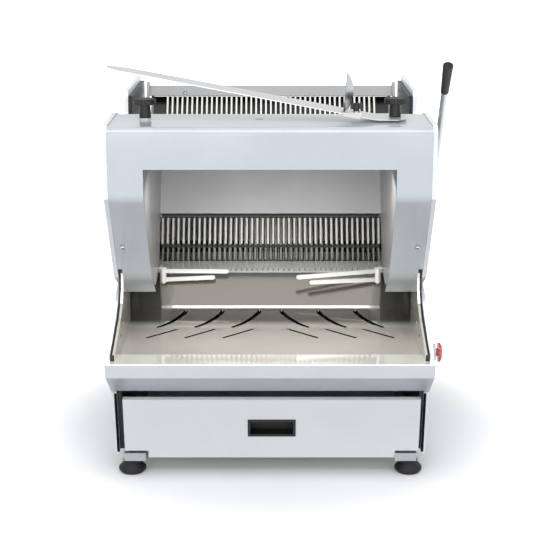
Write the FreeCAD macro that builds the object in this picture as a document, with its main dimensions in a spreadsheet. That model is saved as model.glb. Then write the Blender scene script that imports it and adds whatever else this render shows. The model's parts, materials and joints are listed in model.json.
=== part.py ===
import FreeCAD, Part
import math
import os
import re

import Sketcher
from FreeCAD import Rotation, Vector

# Counter-top bread slicer with a hand lever.  Millimetres, +Z up.
# Machine coordinates: X from the centre plane, Y from the front rim to the back, Z from a level a
# little under the feet.  Every node then moves by the same offset, which puts the origin on the
# counter under the middle of the bounding box.

SIZES = {
    # overall casing
    "half_width": 330,          # outside of the casing sides
    "skin": 9,                  # folded side casing
    "wall": 9,                  # structural side plate inside the casing
    "machine_depth": 800,
    "rim_height": 300,          # top of the front rim above the counter
    "rim_ledge": 20,            # full-width edge of the tray's lip
    "sheet": 2.5,               # painted and stainless covers
    "base_under": 58,           # underside of the base
    "pan_sheet": 3,
    "top_height": 765,          # top of the casing sides over the hood
    "guard_height": 780,        # top of the casing sides at the loading side
    "seam": 0.3,                # gap between covers that meet
    # front of the base and its apron
    "front_foot": 131,          # lower edge of the base front, back from the rim
    "front_head": 105,          # upper edge of the base front
    "front_opening": 203,       # height of the drawer opening's top
    "apron_drop": 33,           # upright band of the apron
    "apron_slant": 12,
    # outfeed tray
    "tray_floor": 280,
    "rim_depth": 66,
    "tray_room": 28.4,          # from the tray's bend to the blade plane
    "tray_gap": 26,             # from the end of the tray's back to the blade plane
    "tray_bend_radius": 70,
    "slot_pitch": 82.5,         # crumb slots
    "slot_width": 7,
    "slot_length": 93,          # of those in the floor, at 45 degrees
    "slot_front": 229,
    "slot_reach": 64.4,         # sideways run of those in the bend
    "slot_rise": 47.4,
    # hood
    "hood_front": 75,
    "hood_crown": 762,
    "hood_fold": 619,           # where the upright front turns into the legs
    "hood_back": 264,
    "hood_round": 14,
    "ear_front": 490,           # front edge of the raised sides at the loading space
    "ear_drop": 43,             # how far the sides fall behind the hood
    "ear_round": 12,
    "ear_lining": 12,           # the structural plate ends this far below the casing there
    "leg_knee_back": 205,
    "leg_knee_height": 425,
    "leg_end_back": 298,
    "leg_end_height": 368,
    "window_room": 61,          # from the window's side to the side plate
    "window_top": 679,
    "tunnel_wall": 2,
    # slicing geometry
    "slice_pitch": 12,
    "blade_foot": 424,          # blade plane at the height of the loading bed
    "bed_height": 384.5,
    "blade_lean": 28,           # degrees, top leans back
    "blade_width": 12,
    "blade_thick": 0.8,
    "blade_low": 170,           # blade length below the bed
    "blade_high": 310,          # blade length above the bed
    "frame_gap": 2.5,           # between the blades and the bars of both frames
    "bar_thick": 10,
    "bar_tall": 25,
    "post_wide": 18,
    "frame_room": 31,
    "hook_tall": 15,
    "stroke": 11,
    # crank drive of the blade frames
    "crank_drop": 225,          # below the bed, along the blade plane
    "crank_throw": 12,
    "roller_radius": 12,
    "crank_pin": 6,
    "crank_journal": 10,
    "crank_cheek": 22,
    "cheek_thick": 8,
    "yoke_place": 40,
    "yoke_thick": 8,
    "yoke_wall": 8,
    "yoke_play": 0.9,
    "bearing_place": 88,
    "bearing_wide": 20,
    "bearing_half": 36,
    "running": 0.05,
    "rail_side": 16,
    "pulley_place": 139,
    "pulley_wide": 20,
    "crank_pulley": 26,
    "motor_pulley": 20,
    "belt_thick": 3,
    "belt_wide": 14,
    "motor_room": 160,          # from the motor's axis to the back of the machine
    "motor_height": 165,
    "motor_radius": 60,
    "motor_length": 210,
    # pusher rake
    "loaf_room": 80,            # from the blades to the tines at rest
    "rake_lift": 2.5,
    "rake_lean": 36,
    "tine_thick": 4,
    "tine_length": 455,
    "tine_deep": 40,
    "tine_slim": 24,
    "cross_bar": 12,
    "cross_tall": 24,
    "plate_room": 9,
    "plate_tall": 25,
    "plate_sheet": 2.5,
    "plate_flange": 7,          # turned edges at both ends of the rake's top plate
    "plate_back": 50,           # the sheet behind the tines hangs this far below the plate
    "cheek_room": 24,           # from the carriage side plates' inner face to the side plates
    "carriage_sheet": 6,
    "carriage_drop": 59.5,
    "carriage_shift": 48,
    "carriage_long": 88,
    "push_travel": 100,
    # lever, shaft and guide rods of the pusher
    "shaft_shift": 31,          # behind the tines' feet
    "shaft_drop": 124.5,        # below the bed
    "shaft_radius": 12.5,
    "lever_swing": 43,          # degrees of the whole stroke
    "lever_lean": 36.3,         # degrees forward at rest
    "lever_length": 775,
    "lever_gap": 15,
    "lever_radius": 6.5,
    "grip_length": 72,
    "grip_top": 10.3,
    "grip_low": 8,
    "hub_radius": 22,
    "hub_gap": 2,
    "hub_reach": 22,
    "arm_room": 14,
    "arm_thick": 8,
    "push_roller": 8,
    "push_play": 0.8,
    "rod_radius": 8,
    "rod_room": 37,
    "rod_drop": 44.5,
    "rod_start": 12,            # behind the blade plane at the height of the bed
    "rod_over": 60,             # past the carriage at rest
    "rod_bracket": 12,
    "bush_long": 65,
    "bush_outer": 18,
    # loading bed
    "bed_ahead": 24,
    "bed_gap": 6,               # between the bed and the tines at rest
    "bed_lap": 3,
    "bed_sheet": 3,
    "bed_slot": 3,
    "beam_side": 30,
    "beam_behind": 1,
    "beam_drop": 154.5,
    # outfeed flap
    "flap_offset": 13.7,        # in front of the blade plane
    "flap_top": 119,
    "flap_length": 71,
    "flap_thick": 3,
    "flap_bar": 4,
    "flap_pin": 3,
    # crumb drawer
    "drawer_shift": 3,
    "drawer_low": 46,
    "drawer_tall": 142,
    "drawer_panel": 12,
    "drawer_depth": 270,
    "drawer_floor": 66,
    "drawer_wall_top": 96,
    "drawer_sheet": 2,
    "notch_wide": 50,
    "notch_tall": 17,
    "pull_half": 50.5,
    "pull_tall": 41,
    "pull_deep": 24,
    "pull_wall": 2.5,
    "pull_low": 53,
    # feet
    "foot_low": 9,              # where the feet stand, in the drawing's heights
    "foot_room": 16,
    "foot_front": 150,
    "foot_inset": 55,
    "foot_radius": 29,
    "foot_dome": 31,
    "foot_neck": 11,
    "foot_neck_top": 40,
    "stud_radius": 6,
    "stud_top": 61,
    "bracket_side": 46,
    "bracket_shift": 8,         # towards the middle of the machine
    # knobs and scoop on the hood
    "knob_room": 58,
    "knob_back": 187,
    "knob_head": 22.5,
    "knob_leg": 12,
    "knob_tall": 38,
    "knob_head_tall": 11,
    "knob_stud": 4,
    "collar_tall": 4,
    "scoop_sheet": 1.5,
    "scoop_short": 2,
    "scoop_end": 23,
    "scoop_rise": 104,
    "scoop_flat": 39,           # from the clamping knob to the bend
    "scoop_front": 143,
    "scoop_wide": 92,
    "fin_shift": 91,            # from the clamping knob
    "fin_tall": 78,
    "fin_wide": 38,
    # stop button
    "stop_back": 100,
    "stop_height": 293,
    "stop_radius": 20,
    "stop_collar": 10,
    "stop_cap": 13,
    "stop_press": 5,
    # slice holding arms
    "pivot_room": 52,           # in front of the blade plane
    "pivot_inset": 11,
    "finger_tall": 9,
    "finger_thick": 5,
    "finger_spread": 20,
    "finger_short": 30,         # how much shorter the lower finger is
    "holder_left": 146,
    "holder_right": 190,
    "holder_turn": 16,          # the right arm rests swung towards the front
}

# What follows from those sizes: places and widths that keep a named clearance to what they serve.
DERIVED = {
    "inside": "half_width - skin - wall",                   # inner face of the structural side plates
    "window_half": "inside - window_room",
    "bed_half": "window_half + bed_lap",
    "blade_count": "floor(2 * bed_half / slice_pitch)",
    "frame_half": "inside - frame_room",
    "cheek_place": "inside - cheek_room",
    "arm_place": "inside - arm_room",
    "rod_place": "inside - rod_room",
    "plate_half": "inside - plate_room",
    "plate_low": "tine_length - plate_tall",
    "drawer_half": "inside",
    "foot_side": "inside - foot_room",
    "knob_side": "inside - knob_room",
    "scoop_left": "half_width - scoop_short",
    "scoop_right": "knob_side + scoop_end",
    "scoop_bend": "knob_side - scoop_flat",
    "fin_place": "knob_side - fin_shift",
    "lever_place": "half_width + lever_gap",
    "hub_inner": "half_width + hub_gap",
    "hub_outer": "half_width + hub_reach",
    "tray_bend": "blade_foot - (bed_height - tray_floor) * tan(blade_lean) - tray_room",
    "tray_back": "blade_foot - tray_gap",
    "bed_front": "blade_foot - bed_ahead",
    "rake_foot": "blade_foot + loaf_room",
    "bed_back": "rake_foot - bed_gap",
    "beam_front": "blade_foot + beam_behind",
    "rod_front": "blade_foot + rod_start",
    "rod_back": "carriage_back + rod_over",
    "arm_pivot_back": "blade_foot - pivot_room",
    "carriage_front": "rake_foot + carriage_shift",
    "carriage_back": "carriage_front + carriage_long",
    "shaft_back": "rake_foot + shaft_shift",
    "foot_rear": "machine_depth - foot_inset",
    "motor_back": "machine_depth - motor_room",
    "rake_foot_height": "bed_height + rake_lift",
    "rod_height": "bed_height - rod_drop",
    "carriage_low": "bed_height - carriage_drop",
    "shaft_height": "bed_height - shaft_drop",
    "beam_under": "bed_height - beam_drop",
    "arm_pivot_height": "bed_height",
}
NAMES = list(SIZES) + list(DERIVED)

doc = FreeCAD.newDocument("bread_slicer")
sheet = doc.addObject("Spreadsheet::Sheet", "Dimensions")
cells = list(SIZES.items()) + [(alias, "=" + formula) for alias, formula in DERIVED.items()]
for row, (alias, content) in enumerate(cells, start=1):
    sheet.set("A%d" % row, alias)
    sheet.set("B%d" % row, str(content))
    sheet.setAlias("B%d" % row, alias)
doc.recompute()

NODES = {}


class Sizes:
    """Reads the cells, for shapes that plain Part functions build."""

    def __getattr__(self, alias):
        return float(sheet.get(alias))


size = Sizes()


def bound(text):
    """An expression on sheet aliases, with each alias spelt as the sheet's cell."""
    return re.sub(r"[a-z]+(_[a-z]+)*", lambda m: "Dimensions." + m.group() if m.group() in NAMES else m.group(),
                  str(text))


def bind(thing, **expressions):
    for prop, text in expressions.items():
        thing.setExpression(prop.replace("__", "."), bound(text))
    return thing


# --- frames of reference: each node is modelled upright in one of these and then laid in the machine ---

OFFSET_X = "-(lever_place + grip_top - half_width) / 2"
OFFSET_Y = "-machine_depth / 2"
OFFSET_Z = "-foot_low"
FRAMES = {                       # origin y, origin z, lean about X in degrees
    "machine": ("0", "0", "0"),
    "blade": ("blade_foot", "bed_height", "-blade_lean"),
    "rake": ("rake_foot", "rake_foot_height", "-rake_lean"),
    "handle": ("shaft_back", "shaft_height", "lever_lean"),
    "crank_arm": ("shaft_back", "shaft_height", "-lever_swing / 2"),
    "drawer": ("front_foot - (drawer_low - base_under) * (front_foot - front_head) / (front_opening - base_under)",
               "drawer_low", "atan((front_foot - front_head) / (front_opening - base_under))"),
}


def node(label, thing, frame="machine"):
    """Names a finished piece and lays it in the machine from its own frame."""
    origin_y, origin_z, lean = FRAMES[frame]
    if thing.TypeId in ("Part::Box", "Part::Cylinder"):
        thing = grouped([thing])
    thing.Label = label
    thing.Placement.Rotation = Rotation(Vector(1, 0, 0), 1)
    thing.setExpression("Placement.Rotation.Axis.x", "1")
    thing.setExpression("Placement.Rotation.Axis.y", "0")
    thing.setExpression("Placement.Rotation.Axis.z", "0")
    bind(thing, Placement__Base__x=OFFSET_X, Placement__Base__y=origin_y + " + " + OFFSET_Y,
         Placement__Base__z=origin_z + " + " + OFFSET_Z, Placement__Rotation__Angle=lean)
    NODES[label] = thing
    return thing


# --- building blocks ---

def block(low, high):
    """A Part::Box between two corners given as expressions."""
    box = doc.addObject("Part::Box", "Block")
    for prop, first, last in zip(("Length", "Width", "Height"), low, high):
        box.setExpression(prop, bound("(%s) - (%s)" % (last, first)))
    return bind(box, Placement__Base__x=low[0], Placement__Base__y=low[1], Placement__Base__z=low[2])


def rod(axis, start, length, radius):
    """A Part::Cylinder from a start point along X, Y or Z, bound to expressions."""
    cylinder = doc.addObject("Part::Cylinder", "Rod")
    turn = {"x": (Vector(0, 1, 0), 90), "y": (Vector(1, 0, 0), -90), "z": (Vector(0, 0, 1), 0)}[axis]
    cylinder.Placement.Rotation = Rotation(*turn)
    return bind(cylinder, Radius=radius, Height=length, Placement__Base__x=start[0],
                Placement__Base__y=start[1], Placement__Base__z=start[2])


def joined(parts):
    fuse = doc.addObject("Part::MultiFuse", "Joined")
    fuse.Shapes = parts
    return fuse


def grouped(parts):
    group = doc.addObject("Part::Compound", "Group")
    group.Links = parts
    return group


def cut(base, tools):
    result = doc.addObject("Part::Cut", "Cut")
    result.Base = base
    result.Tool = tools[0] if len(tools) == 1 else joined(tools)
    return result


def outline(body, points, low):
    """A closed sketch in the YZ plane at x = low, each corner held by two bound distances."""
    sketch = body.newObject("Sketcher::SketchObject", "Outline")
    plane = [feature for feature in body.Origin.OriginFeatures if feature.Role == "YZ_Plane"][0]
    sketch.AttachmentSupport = [(plane, "")]
    sketch.MapMode = "FlatFace"
    bind(sketch, AttachmentOffset__Base__z=low)
    count = len(points)
    guess = [(100 * math.cos(2 * math.pi * i / count), 100 * math.sin(2 * math.pi * i / count))
             for i in range(count)]
    sketch.addGeometry([Part.LineSegment(Vector(*guess[i], 0), Vector(*guess[(i + 1) % count], 0))
                        for i in range(count)], False)
    sketch.addConstraint([Sketcher.Constraint("Coincident", i, 2, (i + 1) % count, 1) for i in range(count)])
    for i, (across, up) in enumerate(points):
        for kind, name, text in (("DistanceX", "across_%d", across), ("DistanceY", "up_%d", up)):
            place = sketch.addConstraint(Sketcher.Constraint(kind, -1, 1, i, 1, guess[i][kind[-1] == "Y"]))
            sketch.renameConstraint(place, name % i)
            bind(sketch, **{"Constraints__" + name % i: text})
    return sketch


def plate(points, low, high):
    """A PartDesign body: the YZ outline padded from x = low to x = high."""
    body = doc.addObject("PartDesign::Body", "Plate")
    sketch = outline(body, points, low)
    pad = body.newObject("PartDesign::Pad", "Thickness")
    pad.Profile = sketch
    bind(pad, Length="(%s) - (%s)" % (high, low))
    return body


def turned(points):
    """A PartDesign body: the outline (radius, height) revolved about the Z axis."""
    body = doc.addObject("PartDesign::Body", "Turned")
    sketch = outline(body, points, "0")
    revolution = body.newObject("PartDesign::Revolution", "Turn")
    revolution.Profile = sketch
    revolution.ReferenceAxis = (sketch, ["V_Axis"])
    revolution.Angle = 360
    return body


def feature(shape):
    """A Part::Feature for a shape worked out from the cells by Part's own functions."""
    thing = doc.addObject("Part::Feature", "Worked")
    thing.Shape = shape if shape.Placement.isIdentity() else Part.makeCompound([shape])
    return thing


def bent_face(points, thickness):
    """The section of a bent sheet: a centre line of (across, up, bend radius), given a thickness."""
    corners = [Vector(across, up, 0) for across, up, _ in points]
    edges, start = [], corners[0]
    for i in range(1, len(points) - 1):
        radius = points[i][2]
        before = (corners[i] - corners[i - 1]).normalize()
        after = (corners[i + 1] - corners[i]).normalize()
        turn = before.getAngle(after)
        reach = radius * math.tan(turn / 2)
        first, last = corners[i] - before * reach, corners[i] + after * reach
        inward = (after - before).normalize()
        middle = corners[i] + inward * (radius / math.cos(turn / 2) - radius)
        edges.append(Part.LineSegment(start, first).toShape())
        edges.append(Part.Arc(first, middle, last).toShape())
        start = last
    edges.append(Part.LineSegment(start, corners[-1]).toShape())
    wire = Part.Wire(edges)
    sides = []
    for side in (0.5, -0.5):
        offset = wire.makeOffset2D(side * thickness, 2, False, True)
        sides.append(offset)
    ends = [[wire_side.OrderedVertexes[0].Point, wire_side.OrderedVertexes[-1].Point] for wire_side in sides]
    if (ends[0][0] - ends[1][0]).Length > (ends[0][0] - ends[1][1]).Length:
        ends[1].reverse()
    caps = [Part.LineSegment(ends[0][k], ends[1][k]).toShape() for k in (0, 1)]
    loop = Part.Wire(Part.__sortEdges__(sides[0].Edges + sides[1].Edges + caps))
    return Part.Face(loop)


def along_x(face, low, high):
    """Extrudes a section drawn as (y, z) from x = low to x = high."""
    section = face.copy()
    section.transformShape(FreeCAD.Matrix(0, 0, 1, 0, 1, 0, 0, 0, 0, 1, 0, 0, 0, 0, 0, 1))
    section.translate(Vector(low, 0, 0))
    return section.extrude(Vector(high - low, 0, 0))


def bent_sheet(points, low, high, thickness=None):
    return along_x(bent_face(points, thickness or size.sheet), low, high)


def flat_shape(points, low, high):
    """A polygon of (y, z) points, extruded from x = low to x = high."""
    loop = Part.makePolygon([Vector(0, y, z) for y, z in points + points[:1]])
    solid = Part.Face(loop)
    solid.translate(Vector(low, 0, 0))
    return solid.extrude(Vector(high - low, 0, 0))


def boxed(low, high):
    return Part.makeBox(high[0] - low[0], high[1] - low[1], high[2] - low[2], Vector(*low))


def bar_x(low, high, y, z, radius):
    return Part.makeCylinder(radius, high - low, Vector(low, y, z), Vector(1, 0, 0))


def mirrored(shape):
    return shape.mirror(Vector(0, 0, 0), Vector(1, 0, 0))


def both_sides(shape):
    return [shape, mirrored(shape)]


INNER = "half_width - skin"                       # inner face of the casing side
INSIDE = "half_width - skin - wall"               # inner face of the structural side plate
SIDES = {"left": -1, "right": 1}


def span(side, near, far):
    """Two x expressions, low then high, for a piece between two distances from the centre."""
    return ("-(%s)" % far, "-(%s)" % near) if side == "left" else (near, far)


# --- sides of the machine ---

def side_plates():
    """Structural plates: tray, bed, guards, guides and shafts are carried between them."""
    concave = [(101, 336), (150, 350), (186, 372), (207, 398), (213, 421), (206, 441)]
    points = [("front_foot + drawer_panel + 4", "base_under + pan_sheet"),
              ("front_head + drawer_panel + 1", "front_opening"),
              ("apron_slant + 9", "rim_height - apron_drop + 4"), ("rim_ledge + 2", "rim_height - sheet"),
              ("rim_ledge + 2", "rim_height + 12")]
    points += [("%s" % y, "rim_height + %s" % (z - 300)) for y, z in concave]
    points += [("hood_front + sheet + 1", "hood_fold + 2"), ("hood_front + sheet + 1", "hood_crown - hood_round"),
               ("hood_front + hood_round + sheet", "hood_crown - sheet"),
               ("hood_back", "hood_crown - sheet"),
               ("ear_front + sheet - ear_round", "top_height - ear_drop - sheet"),
               ("ear_front + sheet", "top_height - ear_drop - sheet + ear_round"),
               ("ear_front + sheet", "guard_height - ear_lining - ear_round"),
               ("ear_front + sheet + ear_round", "guard_height - ear_lining"),
               ("machine_depth - sheet", "guard_height - ear_lining"),
               ("machine_depth - sheet", "base_under + pan_sheet")]
    for side in SIDES:
        solid = plate(points, *span(side, INSIDE, INNER))
        bore = rod("x", (span(side, INSIDE + " - 5", INNER)[0], "shaft_back", "shaft_height"), "skin + 10",
                   "bush_outer")
        node("side_plate_" + side, cut(solid, [bore]))


def side_casings():
    """Painted outer sides, notched between the trough and the hood."""
    points = [("front_foot", "base_under"), ("front_head", "front_opening"),
              ("apron_slant + 15", "rim_height - apron_drop - 10"),
              ("apron_slant + 10", "rim_height - apron_drop + 1"), ("rim_ledge + seam", "rim_height"),
              ("rim_ledge + 23", "rim_height + 16"), ("rim_ledge + 141", "rim_height + 66"),
              ("leg_knee_back + 60", "leg_knee_height - 30"),
              ("leg_knee_back", "leg_knee_height"), ("hood_front", "hood_fold"),
              ("hood_front", "top_height - hood_round"), ("hood_front + hood_round", "top_height"),
              ("hood_back", "top_height"), ("ear_front - ear_round", "top_height - ear_drop"),
              ("ear_front", "top_height - ear_drop + ear_round"), ("ear_front", "guard_height - ear_round"),
              ("ear_front + ear_round", "guard_height"),
              ("machine_depth", "guard_height"), ("machine_depth", "base_under")]
    for side in SIDES:
        solid = plate(points, *span(side, INNER, "half_width"))
        if side == "right":
            shaft_hole = rod("x", (INNER + " - 5", "shaft_back", "shaft_height"), "skin + 10", "bush_outer")
            button_hole = rod("x", (INNER + " - 5", "stop_back", "stop_height"), "skin + 10", "stop_radius / 2")
            solid = cut(solid, [shaft_hole, button_hole])
        node("side_casing_" + side, solid)


def base():
    """Floor pan between the side plates, and the back panel with its deck over the motor."""
    pan = block(("-(%s)" % INSIDE, "front_foot + drawer_panel + 3", "base_under"),
                (INSIDE, "machine_depth - sheet", "base_under + pan_sheet"))
    holes = [rod("z", (sign + "foot_side", place, "0"), "100", "stud_radius + running")
             for sign in ("-", "0 + ") for place in ("foot_front", "foot_rear")]
    node("base_pan", cut(pan, holes))
    half, top = size.half_width - size.skin - size.wall, size.bed_height + 96
    back = size.machine_depth - size.sheet * 1.5
    path = [(back, size.base_under + size.pan_sheet, 0), (back, top, 6), (back - 60, top, 4),
            (back - 78, top - 20, 0)]
    panel = bent_sheet(path, -half, half)
    vents = []
    for row in range(6):
        for column in range(3):
            low = (-150 + column * 105, back - 5, 120 + row * 16)
            vents.append(boxed(low, (low[0] + 90, back + 5, low[2] + 5)))
    node("rear_panel", feature(panel.cut(Part.makeCompound(vents))))


def feet():
    """Rubber feet on threaded studs, each screwed up into a folded bracket under the floor pan."""
    brackets = []
    for side, sign in SIDES.items():
        for end, place in (("front", size.foot_front), ("rear", size.foot_rear)):
            profile = [("0", "foot_low"), ("foot_radius - 5", "foot_low"), ("foot_radius", "foot_low + 6"),
                       ("foot_radius", "foot_low + 11"),
                       ("foot_radius * 2 / 3", "foot_dome"), ("foot_radius * 2 / 3", "foot_dome + 5"),
                       ("foot_neck", "foot_dome + 5"),
                       ("foot_neck", "foot_neck_top"), ("stud_radius", "foot_neck_top"),
                       ("stud_radius", "stud_top"), ("0", "stud_top")]
            foot = grouped([turned(profile)])
            bind(foot.Links[0], Placement__Base__x="%s foot_side" % ("-" if sign < 0 else "0 +"),
                 Placement__Base__y="foot_" + end)
            node("foot_%s_%s" % (end, side), foot)
            low, high = size.foot_neck_top + size.seam, size.base_under
            reach = size.bracket_side / 2
            middle = sign * (size.foot_side - size.bracket_shift)
            shell = boxed((middle - reach, place - reach, low), (middle + reach, place + reach, high))
            shell = shell.cut(boxed((middle - reach + 2, place - reach + 2, low - 1),
                                    (middle + reach - 2, place + reach - 2, high - 3)))
            nut = Part.makeCylinder(size.stud_radius + 6, high - low - 3,
                                    Vector(sign * size.foot_side, place, low))
            bore = Part.makeCylinder(size.stud_radius + size.running, 60, Vector(sign * size.foot_side, place, 20))
            brackets.append(shell.fuse(nut).cut(bore))
    node("foot_brackets", feature(Part.makeCompound(brackets)))


def apron():
    """Front of the machine under the rim: an upright band, an inclined face and a flange below it."""
    half = size.sheet / 2
    rim, drop = size.rim_height, size.apron_drop
    path = [(half, rim - size.sheet, 0), (size.apron_slant + half, rim - drop, 3),
            (size.front_head - half, size.front_opening + 4 + half, 3),
            (size.front_head + 35, size.front_opening + 4 + half, 0)]
    section = bent_face(path, size.sheet)
    whole = along_x(section, -size.half_width, size.half_width)
    rim -= size.sheet
    band = boxed((-size.half_width, -5, rim - drop - 2.5), (size.half_width, 50, rim))
    between = size.half_width - size.skin - size.seam
    slope = boxed((-between, -5, 0), (between, size.front_head - 3, rim))
    inside = between - size.wall
    flange = boxed((-inside, -5, 0), (inside, 300, rim))
    node("front_apron", feature(whole.common(band.fuse([slope, flange]))))


def outfeed_tray():
    """Stainless trough: lip, riser, floor and a back that curves up to the blades."""
    floor = size.tray_floor + size.sheet / 2
    lip = size.rim_height - size.sheet / 2
    path = [(0, lip, 0), (size.rim_depth, lip, 3),
            (size.rim_depth, floor, 3), (size.tray_bend, floor, size.tray_bend_radius),
            (size.tray_back, size.bed_height - 1, 0)]
    half = size.half_width - size.skin - size.wall - size.seam
    ledge = boxed((-size.half_width, 0, size.rim_height - size.sheet),
                  (size.half_width, size.rim_ledge, size.rim_height))
    shape = bent_sheet(path, -half, half).fuse(ledge)
    slots = []
    bend_start = size.tray_bend - size.tray_bend_radius / 2
    rows = ((size.bed_half + 14, size.slot_front, size.slot_length, 45),
            (size.bed_half - 3, bend_start, math.hypot(size.slot_reach, size.slot_rise),
             math.degrees(math.atan2(size.slot_rise, size.slot_reach))))
    for start_x, start_y, long, angle in rows:
        for k in range(int((size.bed_half - 5) / size.slot_pitch)):
            slot = Part.makeBox(long - size.slot_width, size.slot_width, 120,
                                Vector(size.slot_width / 2, -size.slot_width / 2, size.tray_floor - 40))
            ends = [Part.makeCylinder(size.slot_width / 2, 120, Vector(x, 0, size.tray_floor - 40))
                    for x in (size.slot_width / 2, long - size.slot_width / 2)]
            slot = slot.fuse(ends)
            slot.rotate(Vector(0, 0, 0), Vector(0, 0, 1), angle)
            slot.translate(Vector(-start_x + k * size.slot_pitch, start_y, 0))
            slots += both_sides(slot)
    node("outfeed_tray", feature(shape.cut(Part.makeCompound(slots))))


# --- hood ---

def hood():
    """Painted hood: crown, rounded front edge, upright front and two legs that sweep back."""
    half = size.sheet / 2
    path = [(size.hood_back, size.hood_crown - half, 0),
            (size.hood_front + half, size.hood_crown - half, size.hood_round),
            (size.hood_front + half, size.hood_fold, 30),
            (size.leg_knee_back + half + 3, size.leg_knee_height, 110),
            (size.leg_end_back, size.leg_end_height, 0)]
    wide = size.half_width - size.skin - size.seam
    shape = bent_sheet(path, -wide, wide)
    window = boxed((-size.window_half, -10, 0), (size.window_half, 500, size.window_top))
    studs = [Part.makeCylinder(size.knob_stud + size.running, 20,
                               Vector(sign * size.knob_side, size.knob_back, size.hood_crown - 10))
             for sign in (-1, 1)]
    inside = size.half_width - size.skin - size.wall - size.seam
    trims = [boxed((inside, 0, 0), (wide + 5, 500, size.leg_knee_height + 20))]
    shape = shape.cut(Part.makeCompound([window] + studs + both_sides(trims[0])))
    posts = []
    for sign in (-1, 1):
        base_point = Vector(sign * size.knob_side, size.knob_back, size.hood_crown - size.sheet)
        post = Part.makeCylinder(size.knob_stud, 26, base_point)
        collar = Part.makeCylinder(size.knob_leg, size.collar_tall,
                                   Vector(sign * size.knob_side, size.knob_back, size.hood_crown))
        posts.append(post.fuse(collar))
    node("hood", feature(Part.makeCompound([shape] + posts)))


def tunnel_walls():
    """Inner side walls of the outfeed tunnel, from the hood's front to the blade guard."""
    lean = math.radians(size.blade_lean)

    def on_guard(up, out=25.25):
        return (size.blade_foot + up * math.sin(lean) - out * math.cos(lean),
                size.bed_height + up * math.cos(lean) + out * math.sin(lean))

    front = size.hood_front + size.sheet
    points = [(front + size.hood_round, size.hood_crown - size.sheet), (front, size.hood_crown - size.hood_round),
              (front, size.hood_fold + 12), (front + 5, size.hood_fold),
              (size.leg_knee_back + 8, size.leg_knee_height + 6), (size.leg_end_back - 30, size.leg_end_height + 26),
              (size.leg_end_back, size.leg_end_height + 14), (size.bed_front - 20, size.bed_height + 9),
              on_guard(20), on_guard(106), on_guard(110, 8),
              on_guard(265, 8),
              on_guard(275), on_guard(342),
              (size.hood_back + 60, size.hood_crown - 20), (size.hood_back - 2, size.hood_crown - 8),
              (size.hood_back - 2, size.hood_crown - size.sheet)]
    wall = flat_shape(points, size.window_half, size.window_half + size.tunnel_wall)
    node("tunnel_walls", feature(Part.makeCompound(both_sides(wall))))


def blade_guards():
    """Satin guard in front of the upper bars, and the cover that closes over both frames."""
    node("guard_plate", block(("-window_half", "-25.25", "flap_top + 6"), ("window_half", "-22.75", "342")),
         "blade")
    lean = math.radians(size.blade_lean)
    across, up = 24, 357
    head = (size.blade_foot + up * math.sin(lean) + across * math.cos(lean),
            size.bed_height + up * math.cos(lean) - across * math.sin(lean))
    foot_up = 325
    foot = (size.blade_foot + foot_up * math.sin(lean) + across * math.cos(lean),
            size.bed_height + foot_up * math.cos(lean) - across * math.sin(lean))
    path = [(size.hood_back, size.hood_crown - size.sheet * 1.5 - size.seam, 0), (head[0] + 2, head[1] + 2, 4),
            (foot[0], foot[1], 0)]
    half = size.half_width - size.skin - size.wall - size.seam
    node("blade_cover", feature(bent_sheet(path, -half, half, 2)))


# --- blade frames ---

def blade_frame(name, front):
    """One rectangular frame of the pair; front frame bars lie ahead of the blades."""
    near, far = "blade_width / 2 + frame_gap", "blade_width / 2 + frame_gap + bar_thick"
    low_y, high_y = ("-(%s)" % far, "-(%s)" % near) if front else (near, far)
    low = "-(blade_low + hook_tall / 3)"
    bars = [block(("-frame_half", low_y, low), ("frame_half", high_y, low + " + bar_tall")),
            block(("-frame_half", low_y, "blade_high - 20"), ("frame_half", high_y, "blade_high - 20 + bar_tall")),
            block(("-frame_half", low_y, low), ("-frame_half + post_wide", high_y, "blade_high - 20 + bar_tall")),
            block(("frame_half - post_wide", low_y, low), ("frame_half", high_y, "blade_high - 20 + bar_tall"))]
    node("blade_frame_" + name, grouped([joined(bars), yoke(front)]), "blade")


def blades(name, front):
    """Thin steel blades of one frame, at every second slice, with hooked ends on its bars."""
    half, reach = size.blade_width / 2, size.blade_width / 2 + size.frame_gap
    tab, low, high = size.hook_tall, -size.blade_low, size.blade_high
    profile = [(half, low), (half, high), (-reach, high), (-reach, high - tab), (-half, high - tab),
               (-half, low + tab), (-reach, low + tab), (-reach, low)]
    if not front:
        profile = [(-y, z) for y, z in profile]
    count = int(size.blade_count)
    first = -(count - 1) / 2 * size.slice_pitch
    blade = flat_shape(profile, -size.blade_thick / 2, size.blade_thick / 2)
    solids = []
    for k in range(0 if front else 1, count, 2):
        copy = blade.copy()
        copy.translate(Vector(first + k * size.slice_pitch, 0, 0))
        solids.append(copy)
    node("blades_" + name, feature(Part.makeCompound(solids)), "blade")


def yoke(front):
    """Slotted yoke that hangs from a frame's lower bar and turns the roller's circle into a stroke."""
    side = -1 if front else 1
    centre = -size.crank_drop
    near = size.blade_width / 2 + size.frame_gap
    neck = sorted((side * near, side * (near + size.bar_thick)))
    bottom_of_bar = -(size.blade_low + size.hook_tall / 3)
    play = size.roller_radius + size.yoke_play
    reach = size.crank_throw + play
    tall = play + size.yoke_wall
    place = side * size.yoke_place
    low, high = place - size.yoke_thick / 2, place + size.yoke_thick / 2
    hanger = boxed((low, neck[0], centre), (high, neck[1], bottom_of_bar))
    body = boxed((low, -reach - 5, centre - tall), (high, reach + 5, centre + tall))
    slot = boxed((low - 1, -reach, centre - play), (high + 1, reach, centre + play))
    return feature(hanger.fuse(body).cut(slot))


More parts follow.
